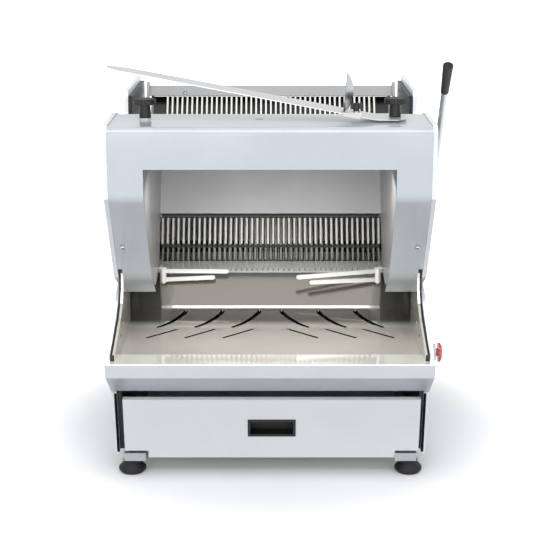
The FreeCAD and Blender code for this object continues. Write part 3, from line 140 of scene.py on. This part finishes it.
# %% Turned shapes and flat sheets
def axes_about(axis):
    """Two directions u and v square to the axis and to each other, and the axis n, all of length 1."""
    n = np.asarray(axis, float) / np.linalg.norm(axis)
    helper = np.array([0, 0, 1.0]) if abs(n[2]) < 0.9 else np.array([1.0, 0, 0])
    u = np.cross(helper, n)
    u /= np.linalg.norm(u)
    return u, np.cross(n, u), n


def turned_shell(profile, centre, axis, steps):
    """A profile of (radius, height) pairs in mm turned about an axis: p = c + r cos t u + r sin t v + h n."""
    u, v, n = axes_about(axis)
    t = np.linspace(0, 2 * np.pi, steps, endpoint=False)
    radius, height = np.asarray(profile, float).T / MM
    ring = np.cos(t)[:, None] * u + np.sin(t)[:, None] * v
    points = np.asarray(centre) + radius[:, None, None] * ring + height[:, None, None] * n
    return points.reshape(-1, 3), grid_faces(len(radius), steps)


def flat_sheet(outline, near, far):
    """A closed prism: the (y, z) outline at x = near and x = far, joined by one quad per edge."""
    n = len(outline)
    points = np.array([at(x, y, z) for x in (near, far) for y, z in outline])
    k = np.arange(n)
    sides = np.stack([k, (k + 1) % n, (k + 1) % n + n, k + n], 1).tolist()
    return points, [list(range(n))[::-1], list(range(n, 2 * n))] + sides


print("points of a turned cap:", len(turned_shell([(5, 0), (4, 1), (1, 2)], (0, 0, 0), (0, 0, 1), 24)[0]))

# %% [markdown]
# ## Small node helpers
# A shader tree is easier to read when each kind of node has one function that makes it, sets it
# and links it. An operand is either a socket of another node or a plain value, and the functions
# tell the two apart. Object coordinates are used throughout, so a finish stays with its piece.

# %% Node helpers
def feed(tree, socket, value):
    """Gives a socket its value: a link when it comes from another node, else a number or colour."""
    if isinstance(value, bpy.types.NodeSocket):
        tree.links.new(value, socket)
    else:
        socket.default_value = value


def maths(tree, operation, first, second):
    node = tree.nodes.new("ShaderNodeMath")
    node.operation = operation
    for socket, value in zip(node.inputs, (first, second)):
        feed(tree, socket, value)
    return node.outputs[0]


def blend(tree, first, second, share):
    """The first value times its share plus the second times the rest."""
    return maths(tree, "ADD", maths(tree, "MULTIPLY", first, share),
                 maths(tree, "MULTIPLY", second, 1 - share))


def stretch(tree, value, start, end, low=0.0, high=1.0, smooth=False):
    """Maps start..end of a value onto low..high, with soft ends if smooth."""
    node = tree.nodes.new("ShaderNodeMapRange")
    node.interpolation_type = "SMOOTHSTEP" if smooth else "LINEAR"
    for label, number in (("From Min", start), ("From Max", end), ("To Min", low), ("To Max", high)):
        node.inputs[label].default_value = number
    tree.links.new(value, node.inputs["Value"])
    return node.outputs["Result"]


def tint(tree, mask, first, second):
    """The first colour where the mask is 0 and the second where it is 1."""
    node = tree.nodes.new("ShaderNodeMix")
    node.data_type = "RGBA"
    for k, value in ((0, mask), (6, first), (7, second)):
        feed(tree, node.inputs[k], value)
    return node.outputs[2]


def coordinates(tree, kind="Object"):
    """The X, Y and Z of the object's coordinates, or of its normal."""
    apart = tree.nodes.new("ShaderNodeSeparateXYZ")
    tree.links.new(tree.nodes.new("ShaderNodeTexCoord").outputs[kind], apart.inputs[0])
    return apart.outputs


def noise(tree, scales, scale, detail):
    """Noise of the object coordinates, each multiplied by its own scale first."""
    together = tree.nodes.new("ShaderNodeCombineXYZ")
    for socket, value, factor in zip(together.inputs, coordinates(tree), scales):
        tree.links.new(maths(tree, "MULTIPLY", value, factor), socket)
    node = tree.nodes.new("ShaderNodeTexNoise")
    feed(tree, node.inputs["Scale"], scale)
    feed(tree, node.inputs["Detail"], detail)
    tree.links.new(together.outputs[0], node.inputs["Vector"])
    return node.outputs["Fac"]


def linear(hex_colour):
    """A web colour as linear light: ((c + 0.055) / 1.055) ** 2.4 above the toe."""
    c = np.array([int(hex_colour[k:k + 2], 16) / 255 for k in (1, 3, 5)])
    c = np.where(c <= 0.04045, c / 12.92, ((c + 0.055) / 1.055) ** 2.4)
    return (*c, 1.0)


print("middle grey as light:", round(float(linear("#808080")[0]), 3))

# %% [markdown]
# ## Shared surface effects
# Real sheet metal is never one even value. Three effects appear on several finishes, so each is a
# node group with named inputs: a fine brushed grain stretched along one direction, the soft
# dimples of sprayed paint, and the cloudy marks that handling leaves. The groups put out only
# values that change over the surface; each material decides what to do with them.

# %% Node groups
CLOUD_SIZE = 9


def new_group(name, inputs, output):
    """A shader group with float inputs (name: default) and one float output; also its two ends."""
    group = bpy.data.node_groups.new(name, "ShaderNodeTree")
    for label, default in inputs.items():
        socket = group.interface.new_socket(label, in_out="INPUT", socket_type="NodeSocketFloat")
        socket.default_value = default
    group.interface.new_socket(output, in_out="OUTPUT", socket_type="NodeSocketFloat")
    return group, group.nodes.new("NodeGroupInput").outputs, group.nodes.new("NodeGroupOutput").inputs


def brushed_grain():
    """Fine scratches: noise squeezed across the grain and stretched along it, with a coarser layer."""
    group, given, out = new_group("Brushed grain", {"X": 900, "Y": 900, "Z": 900}, "Scratch")
    scales = [given[axis] for axis in "XYZ"]
    fine, coarse = noise(group, scales, 1.0, 3.0), noise(group, scales, 0.31, 2.0)
    group.links.new(blend(group, fine, coarse, 0.6), out["Scratch"])
    return group


def paint_dimples():
    """Orange peel of a powder coat: rounded noise a few millimetres across, and a finer tooth."""
    group, given, out = new_group("Paint dimples", {"Size": 260, "Tooth": 1400}, "Height")
    peel = noise(group, [given["Size"]] * 3, 1.0, 1.0)
    tooth = noise(group, [given["Tooth"]] * 3, 1.0, 2.0)
    group.links.new(blend(group, peel, tooth, 0.75), out["Height"])
    return group


def handling_marks():
    """Cloudy patches a few centimetres across, where hands and cloths have been."""
    group, given, out = new_group("Handling marks", {"Size": CLOUD_SIZE}, "Cloud")
    group.links.new(noise(group, [given["Size"]] * 3, 1.0, 4.0), out["Cloud"])
    return group


GRAIN, DIMPLES, MARKS = brushed_grain(), paint_dimples(), handling_marks()
print("node groups:", [g.name for g in bpy.data.node_groups])

# %% [markdown]
# ## Building a finish
# A finish is a Principled shader whose colour and roughness drift a little with the handling
# marks, and whose bump comes from the grain or the dimples. The drift is small: this is a new
# machine under studio light, and the eye should read clean sheet metal, not dirt.

# %% One material builder
NOISE_LOW, NOISE_HIGH = 0.3, 0.7
BUMP_STRENGTH = 0.35
COAT_ROUGHNESS = 0.12


def use_group(tree, group, **inputs):
    """A group node with some inputs set; its output."""
    node = tree.nodes.new("ShaderNodeGroup")
    node.node_tree = group
    for label, value in inputs.items():
        node.inputs[label].default_value = value
    return node.outputs[0]


def grain(x, y, z):
    return GRAIN, {"X": x, "Y": y, "Z": z}


def dimples(size, tooth):
    return DIMPLES, {"Size": size, "Tooth": tooth}


def finish(name, light, dark, metallic, smooth, rough, relief, depth, coat=0.0):
    """A Principled material: colour from dark to light with the clouds, roughness with the relief."""
    material = bpy.data.materials.new(name)
    material.use_nodes = True
    tree = material.node_tree
    shader = tree.nodes["Principled BSDF"]
    clouds = use_group(tree, MARKS, Size=CLOUD_SIZE)
    lightness = stretch(tree, clouds, NOISE_LOW, NOISE_HIGH)
    tree.links.new(tint(tree, lightness, linear(dark), linear(light)), shader.inputs["Base Color"])
    height = use_group(tree, relief[0], **relief[1])
    drift = stretch(tree, blend(tree, clouds, height, 0.5), NOISE_LOW, NOISE_HIGH, smooth, rough)
    tree.links.new(drift, shader.inputs["Roughness"])
    shader.inputs["Metallic"].default_value = metallic
    shader.inputs["Coat Weight"].default_value = coat
    shader.inputs["Coat Roughness"].default_value = COAT_ROUGHNESS
    bump = tree.nodes.new("ShaderNodeBump")
    bump.inputs["Strength"].default_value = BUMP_STRENGTH
    bump.inputs["Distance"].default_value = depth
    tree.links.new(height, bump.inputs["Height"])
    tree.links.new(bump.outputs["Normal"], shader.inputs["Normal"])
    return material


print("noise is read between", NOISE_LOW, "and", NOISE_HIGH)

# %% [markdown]
# ## The finishes of this machine
# The casing and hood are powder coated in a cool light grey. The trough, the linings and the
# scoop are stainless, brushed along their length and nearly mirror bright in the trough.
# Blades and tines are bare bright metal. Knobs and the grip are moulded black plastic, the feet
# are rubber, and the stop button is glossy red. Each row below gives the light and dark colour,
# how metallic it is, the smooth and rough end of its roughness, its relief, the depth of the
# relief in metres and, for a lacquered surface, the weight of its clear coat.

# %% Finishes by material slot
POWDER = dimples(260, 1400)
FINISH_ROWS = {
    # painted light and shade: one powder coat in three copies, partly its real tone and partly a darker hood
    # and a lighter casing and drawer that even out how the lamps fall
    "painted_sheet": ("powder coat, casing", "#f1f5fa", "#eaeff5", 0.0, 0.30, 0.42, POWDER, 0.00012, 0.12),
    "painted_hood": ("powder coat, hood", "#c0c6cd", "#bac0c8", 0.0, 0.28, 0.40, POWDER, 0.00012, 0.9),
    "painted_drawer": ("powder coat, drawer", "#f3f7fb", "#edf2f6", 0.0, 0.30, 0.42, POWDER, 0.00012, 0.12),
    "inner_sheet": ("zinc plated sheet", "#b0b3b5", "#9da1a4", 0.8, 0.32, 0.5, grain(60, 500, 500), 0.0001),
    "stainless": ("bright stainless", "#dfdcd4", "#cfccc4", 0.62, 0.12, 0.24, grain(35, 900, 900), 0.00004),
    "satin_guard": ("satin stainless", "#c3c4c6", "#b9babc", 0.1, 0.36, 0.5, grain(30, 900, 900), 0.00007),
    "scoop_sheet": ("brushed scoop sheet", "#d9dbdd", "#ccced0", 0.6, 0.22, 0.36, grain(25, 1100, 1100),
                    0.00006),
    "frame_steel": ("painted frame steel", "#8d9092", "#7f8284", 0.3, 0.38, 0.5, dimples(300, 1500), 0.0001),
    # painted shade: the side plates are dark so the gap beside the drawer and the ears' inner faces read as
    # shaded
    "dark_steel": ("dark steel, painted shade", "#1d1f21", "#17191a", 0.2, 0.34, 0.48, dimples(400, 1600), 0.0001),
    "blade_steel": ("blade steel", "#c2c0bc", "#b4b2ae", 0.45, 0.2, 0.36, grain(900, 900, 40), 0.00004),
    "machined_steel": ("machined steel", "#c3c6c8", "#aeb2b5", 1.0, 0.2, 0.34, grain(700, 700, 700), 0.00004),
    "chromed_steel": ("chromed steel", "#b4b6b8", "#a5a8aa", 1.0, 0.14, 0.26, grain(200, 200, 200), 0.00002),
    "bearing_steel": ("hardened rollers", "#9ea2a5", "#8b9093", 1.0, 0.2, 0.34, grain(40, 900, 900), 0.00004),
    "cast_aluminium": ("cast aluminium", "#aeb1b4", "#9fa3a7", 1.0, 0.36, 0.52, dimples(900, 2600), 0.00015),
    "tine_aluminium": ("anodised tines", "#e9e7e2", "#dddbd6", 0.25, 0.34, 0.46, grain(900, 900, 50),
                       0.00005),
    "arm_aluminium": ("holder arms", "#f0efec", "#e6e5e2", 0.15, 0.3, 0.42, grain(50, 800, 800), 0.00005),
    "bronze": ("bronze bush", "#b08c54", "#997646", 1.0, 0.28, 0.42, grain(700, 700, 700), 0.00005),
    "motor_paint": ("motor enamel", "#666d73", "#5a6066", 0.0, 0.36, 0.5, dimples(500, 1800), 0.0002),
    "white_plastic": ("white guide plastic", "#e9e9e5", "#dededa", 0.0, 0.4, 0.55, dimples(600, 2400),
                      0.0001),
    "grey_plastic": ("grey switch plastic", "#c6cacd", "#bbbfc3", 0.0, 0.34, 0.46, dimples(700, 2600),
                     0.00008),
    "black_plastic": ("black moulding", "#0d0e10", "#09090b", 0.0, 0.42, 0.6, dimples(900, 3200), 0.00012),
    "red_plastic": ("red button", "#c8161d", "#b41218", 0.0, 0.14, 0.24, dimples(150, 900), 0.00003, 0.6),
    "black_rubber": ("foot rubber", "#101114", "#0a0b0d", 0.0, 0.5, 0.7, dimples(700, 2600), 0.0002),
    "belt_rubber": ("belt rubber", "#202021", "#171718", 0.0, 0.6, 0.8, dimples(300, 1800), 0.0002),
}
slot_of = {entry["node"]: entry["material_slot"] for entry in frame["record"]["subparts"]}
FINISHES = {slot: finish(*row) for slot, row in FINISH_ROWS.items()}
print(len(FINISHES), "finishes for", len(set(slot_of.values())), "slots")

# %% [markdown]
# ## Finishes that change over one piece
# On the trough the floor and lip get a lighter, less metallic colour and the back a darker one, a
# painted reflection; the walls of its slots are painted near black, a painted shade that reads as
# gaps. The flap's strips are light on their faces with painted shade on their edges and bars. Both
# follow masks made from the piece's own coordinates and normals, so nothing has to be painted by hand.

# %% Trough, flap and painted gap shade
TRAY_FLOOR, TRAY_BACK = 0.2725, 0.284       # heights between which the trough's back begins
LIP_END, BACK_START = -0.22, -0.17          # and the depths between which the lip has ended
FLOOR_METAL, BACK_METAL = 0.5, 0.85
FLAP_BAR = 0.0085                           # height of the flap's upper and lower bar
SIDEWAYS = 0.2                              # a normal with a larger X faces sideways


def shader_of(material):
    return material.node_tree.nodes["Principled BSDF"]


def side_facing(tree):
    """1 where the surface faces sideways, which on a bent sheet is only the wall of a slot."""
    across = maths(tree, "ABSOLUTE", coordinates(tree, "Normal")["X"], 0.0)
    return maths(tree, "GREATER_THAN", across, SIDEWAYS)


def recolour(material, mask, hex_colour, edge_hex):
    """A darker colour where the mask is 1, and the edge colour where the surface faces sideways."""
    tree, colour = material.node_tree, shader_of(material).inputs["Base Color"]
    masked = tint(tree, mask, colour.links[0].from_socket, linear(hex_colour))
    tree.links.new(tint(tree, side_facing(tree), masked, linear(edge_hex)), colour)


def trough_finish():
    """One mask runs from 0 on the floor and lip to 1 up the back; the colour and metal that follow it are a
    painted reflection.
    """
    material = finish("trough stainless", "#f8f5ee", "#efece5", FLOOR_METAL, 0.04, 0.1,
                      grain(35, 900, 900), 0.00003)
    tree = material.node_tree
    place = coordinates(tree)
    climb = stretch(tree, place["Z"], TRAY_FLOOR, TRAY_BACK, smooth=True)
    painted_reflection_mask = maths(tree, "MULTIPLY", climb, stretch(tree, place["Y"], LIP_END, BACK_START))
    # painted reflection: lighter, less metallic floor and lip and a darker back; painted shade: near-black
    # slot walls
    recolour(material, painted_reflection_mask, "#a3a09a", "#0b0b0b")
    metal = stretch(tree, painted_reflection_mask, 0.0, 1.0, FLOOR_METAL, BACK_METAL)
    tree.links.new(metal, shader_of(material).inputs["Metallic"])
    return material


def flap_finish():
    """Light strips whose hinge bar, lower bar and edges are darkened with painted shade."""
    material = finish("flap strips", "#ebe9e4", "#dfddd8", 0.25, 0.34, 0.46, grain(900, 900, 50), 0.00005)
    tree = material.node_tree
    low, high = (corner[2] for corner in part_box("outfeed_flap"))
    height = coordinates(tree)["Z"]
    bars = maths(tree, "MAXIMUM", maths(tree, "LESS_THAN", height, low + FLAP_BAR),
                 maths(tree, "GREATER_THAN", height, high - FLAP_BAR))
    # painted shade on the hinge bar, the lower bar and the sideways edges of the strips
    recolour(material, bars, "#3b3936", "#3a3835")
    return material


def painted_gap_shade():
    """Painted shade for the unlit depth beside the drawer: nearly black, with hardly any sheen of its own."""
    material = finish("painted gap shade", "#040405", "#020203", 0.0, 0.7, 0.85, grain(60, 60, 60), 0.00002)
    shader_of(material).inputs["Specular IOR Level"].default_value = 0.1
    return material


NODE_FINISHES = {
    "loading_bed": finish("polished bed sheet", "#fbfaf8", "#f2f1ee", 0.05, 0.2, 0.32,
                          grain(35, 900, 900), 0.00004),
    "outfeed_tray": trough_finish(),
    "outfeed_flap": flap_finish(),
    "tunnel_walls": finish("tunnel sheet", "#a3a4a6", "#999a9c", 0.15, 0.3, 0.44,
                           grain(900, 40, 900), 0.00006),
    "rake_top_plate": finish("rake plate", "#a9aaab", "#9d9fa0", 0.2, 0.36, 0.5,
                             grain(30, 900, 900), 0.00007),
}
for name, obj in parts.items():
    obj.data.materials.clear()
    obj.data.materials.append(NODE_FINISHES.get(name) or FINISHES[slot_of[name]])
print("finished:", len(parts), "pieces,", len(NODE_FINISHES), "with a finish of their own")

# %% [markdown]
# ## Screws
# Dome-headed cross screws hold the linings, the hood's legs and the rake's plate. A head is a low
# cap turned about the screw's axis: its profile is a quarter of an ellipse with a small undercut.
# The cross recess is two thin dark bars let into the crown, a painted shade that reads as a recess
# at this distance. The leg screws stand square to the legs' slope, and the rake's screw leans with
# the rake and travels with its carriage.

# %% Dome screws
HEAD_RADIUS = 5.2
CROWN = 0.45                                # height of the head as a share of its radius
BAR_LENGTH, BAR_WIDTH = 0.52, 0.1           # half length and half width of a recess bar, likewise
BAR_DEPTH, BAR_RISE = -0.5, 0.06            # its bottom and top in mm, from the crown
BOX_FACES = [[0, 3, 2, 1], [4, 5, 6, 7], [0, 1, 5, 4], [1, 2, 6, 5], [2, 3, 7, 6], [3, 0, 4, 7]]


def recess_bar(top, along, across, up):
    """A box of eight corners: p = top + i L along + j W across + k up, for i, j of -1 and 1."""
    square = ((-1, -1), (1, -1), (1, 1), (-1, 1))
    corners = np.array([[i, j, k] for k in (BAR_DEPTH, BAR_RISE) for i, j in square], float)
    points = (top + corners[:, :1] * along * HEAD_RADIUS * BAR_LENGTH / MM
              + corners[:, 1:2] * across * HEAD_RADIUS * BAR_WIDTH / MM + corners[:, 2:] * up / MM)
    return points, BOX_FACES


def dome_screw(name, place, axis, body):
    """Head: r = R cos a, h = 0.45 R sin a for a from 0 to 90 degrees; recess: two crossed bars."""
    angles = np.linspace(0, np.pi / 2, 8)
    profile = [(HEAD_RADIUS * 0.96, -0.2)]
    profile += [(max(HEAD_RADIUS * math.cos(a), 1e-4), CROWN * HEAD_RADIUS * math.sin(a)) for a in angles]
    make_piece(name, *turned_shell(profile, place, axis, 24), FINISHES["chromed_steel"], body,
               "chromed_steel")
    u, v, n = axes_about(axis)
    top = np.asarray(place) + n * (CROWN + 0.01) * HEAD_RADIUS / MM
    bars = join_shells([recess_bar(top, u, v, n), recess_bar(top, v, u, n)])
    # painted shade: black bars stand in for the shade inside the cross recess
    make_piece(name + "_recess", *bars, FINISHES["black_plastic"], body, "black_plastic", smooth=False)


LINING_FACE = 311.3                         # distance of the linings' bright face from the middle
LINING_SCREWS = ((207, 325), (127, 319))
screws = [(sign * (LINING_FACE + 0.1), y, z, -sign, 0, 0) for sign in (-1, 1) for y, z in LINING_SCREWS]
screws += [(sign * 304, 153.2, 501.6, 0, -0.831, -0.557) for sign in (-1, 1)]
for number, (x, y, z, *axis) in enumerate(screws):
    dome_screw("lining_screw_%d" % number, at(x, y, z), axis, "machine_body")
dome_screw("rake_screw", at(-210, 759.1, 742.4), (0, -0.809, 0.588), "pusher_carriage")
print(len(screws) + 1, "screws")

# %% [markdown]
# ## Side linings, gap shade strips and plug
# The structural side plates are dark, a painted shade; where bread passes they are covered by a
# bright sheet that stops just short of the plate's hollow edge, so a dark line borders the trough.
# A lining stands 0.7 mm proud of its plate and its back is let into it. A black strip, a dark sheet
# standing in for the shade of the gap, closes each side of the drawer's opening, on the inner half
# of the casing's sloping front edge. Both are flat outlines given a thickness. A small painted plug,
# which is turned, fills the lifting hole in the hood's top.

# %% Small trim
LINING = [(22.6, 297), (22.6, 312.5), (101, 336.6), (149.8, 350.7), (185.5, 372.6), (206.4, 398.3),
          (211, 421), (208, 438), (296, 438), (330, 380), (330, 276), (66, 276), (66, 297)]
STRIP = [(130.6, 60), (104.7, 201), (108, 201), (134, 60)]
PLUG = [(8.5, -0.5), (8.5, 0.2), (7.6, 0.9), (5.0, 1.3), (0.01, 1.4)]
GAP_SHADE = painted_gap_shade()
for side, sign in (("left", -1), ("right", 1)):
    make_piece("lining_" + side, *flat_sheet(LINING, sign * LINING_FACE, sign * 316),
               FINISHES["stainless"], "machine_body", "stainless", smooth=False)
    # painted shade: black strips stand in for the shade in the gap beside the drawer
    make_piece("gap_shade_strip_" + side, *flat_sheet(STRIP, sign * 320.5, sign * 325.6),
               GAP_SHADE, "machine_body", "black_plastic", smooth=False)
make_piece("hood_plug", *turned_shell(PLUG, at(-22.7, 195, 762), (0, 0, 1), 40),
           FINISHES["painted_hood"], "machine_body", "painted_hood")
print("lining:", len(LINING), "corners; strip:", STRIP[1][1] - STRIP[0][1], "mm tall")

# %% [markdown]
# ## Studio
# The machine stands on a white table that runs back into a white wall. Lamps are large and soft,
# as for a catalogue picture: a key on the left and a weaker fill on the right at the height of the
# hood, and a strong one overhead. A thin warm lamp under the hood lifts the blades and the trough
# a little, and no mirror shows it. The background looks pure white because the camera sees a
# white world; the light that falls on the machine stays at a plain level.

# %% Floor, world and lamps
FLOOR_HALF = 30
TABLE_GIVES = (0.14, 0.14, 0.15, 1)         # the table as the machine's light bounces off it
TABLE_SHOWS = (0.84, 0.85, 0.875, 1)        # and as the camera and bright metal see it
GLOW_START, GLOW_END = 0.38, 0.86           # distances in metres over which the table turns white
GLOW_NEAR, GLOW_FAR = 0.06, 1.0
WORLD_LEVEL, WORLD_MIRRORED = 0.72, 0.85
MACHINE, HOOD_LAMP_AIM = (0, -0.1, 0.3), (0, -0.2, 0.27)


def white_floor():
    """A wide plane. The camera and mirror-like metal see it white, and whiter away from the machine;
    the light it throws back up is that of a dark grey table."""
    h = FLOOR_HALF
    mesh = bpy.data.meshes.new("floor")
    mesh.from_pydata([(-h, -h, 0), (h, -h, 0), (h, h, 0), (-h, h, 0)], [], [(0, 1, 2, 3)])
    floor = bpy.data.objects.new("floor", mesh)
    bpy.context.scene.collection.objects.link(floor)
    material = bpy.data.materials.new("white table")
    material.use_nodes = True
    tree, shader = material.node_tree, shader_of(material)
    shader.inputs["Roughness"].default_value = 0.6
    shader.inputs["Specular IOR Level"].default_value = 0.2
    shader.inputs["Emission Color"].default_value = (1, 1, 1, 1)
    seen = tree.nodes.new("ShaderNodeLightPath").outputs
    direct = maths(tree, "MAXIMUM", seen["Is Camera Ray"], seen["Is Glossy Ray"])
    tree.links.new(tint(tree, direct, TABLE_GIVES, TABLE_SHOWS), shader.inputs["Base Color"])
    away = tree.nodes.new("ShaderNodeVectorMath")
    away.operation = "LENGTH"
    tree.links.new(tree.nodes.new("ShaderNodeTexCoord").outputs["Object"], away.inputs[0])
    glow = stretch(tree, away.outputs["Value"], GLOW_START, GLOW_END, GLOW_NEAR, GLOW_FAR, smooth=True)
    tree.links.new(maths(tree, "MULTIPLY", direct, glow), shader.inputs["Emission Strength"])
    mesh.materials.append(material)


def studio_world():
    """White for the camera, a little less in mirrors, and a calm level for the light it gives."""
    world = bpy.data.worlds.new("studio")
    world.use_nodes = True
    tree = world.node_tree
    background = tree.nodes["Background"]
    background.inputs["Color"].default_value = (1.0, 1.0, 1.0, 1)
    seen = tree.nodes.new("ShaderNodeLightPath").outputs
    mirror = maths(tree, "MAXIMUM", seen["Is Glossy Ray"], seen["Is Transmission Ray"])
    strength = maths(tree, "MAXIMUM", seen["Is Camera Ray"],
                     maths(tree, "MULTIPLY", mirror, WORLD_MIRRORED))
    tree.links.new(maths(tree, "MAXIMUM", strength, WORLD_LEVEL), background.inputs["Strength"])
    bpy.context.scene.world = world


def soft_lamp(name, place, target, width, height, watts, colour=(1, 1, 1)):
    """A rectangular area lamp aimed at a point."""
    data = bpy.data.lights.new(name, "AREA")
    data.shape, data.size, data.size_y = "RECTANGLE", width, height
    data.energy, data.color = watts, colour
    lamp = bpy.data.objects.new(name, data)
    bpy.context.scene.collection.objects.link(lamp)
    lamp.location = place
    lamp.rotation_euler = (Vector(target) - Vector(place)).to_track_quat("-Z", "Y").to_euler()
    return lamp


white_floor()
studio_world()
soft_lamp("key", (-0.9, -2.9, 1.0), MACHINE, 1.8, 1.6, 20)
soft_lamp("fill", (1.2, -2.8, 0.9), MACHINE, 1.6, 1.4, 15)
soft_lamp("overhead", (0, -2.2, 3.8), (0, -0.1, 0.4), 2.6, 1.6, 58)
under_hood = soft_lamp("under hood", (0, -0.27, 0.64), HOOD_LAMP_AIM, 0.46, 0.08, 1.1, (1.0, 0.97, 0.92))
under_hood.visible_camera = under_hood.visible_glossy = False

# %% [markdown]
# ## Camera
# The picture is taken from nearly three metres away with a long lens, a little above the hood and
# looking fifteen degrees down, straight at the machine's middle. The long lens keeps the sides
# almost parallel, which is how such machines are shown in catalogues. A focal length given in
# pixels becomes millimetres by the sensor's 36 mm over the picture's 550 pixels.

# %% Camera
SENSOR_MM, PICTURE_PX, FOCAL_PX = 36, 550, 1358
LOOK_DOWN = 15


def place_camera():
    """Focal length in mm = sensor width x focal length in px / picture width in px."""
    data = bpy.data.cameras.new("camera")
    data.lens = SENSOR_MM * FOCAL_PX / PICTURE_PX
    camera = bpy.data.objects.new("camera", data)
    bpy.context.scene.collection.objects.link(camera)
    camera.location = at(10, -2564.7, 1171.7)
    camera.rotation_euler = (math.radians(90 - LOOK_DOWN), 0, 0)
    bpy.context.scene.camera = camera


place_camera()
bpy.context.scene.view_settings.view_transform = "Standard"
print("lens in mm:", round(bpy.context.scene.camera.data.lens, 1))
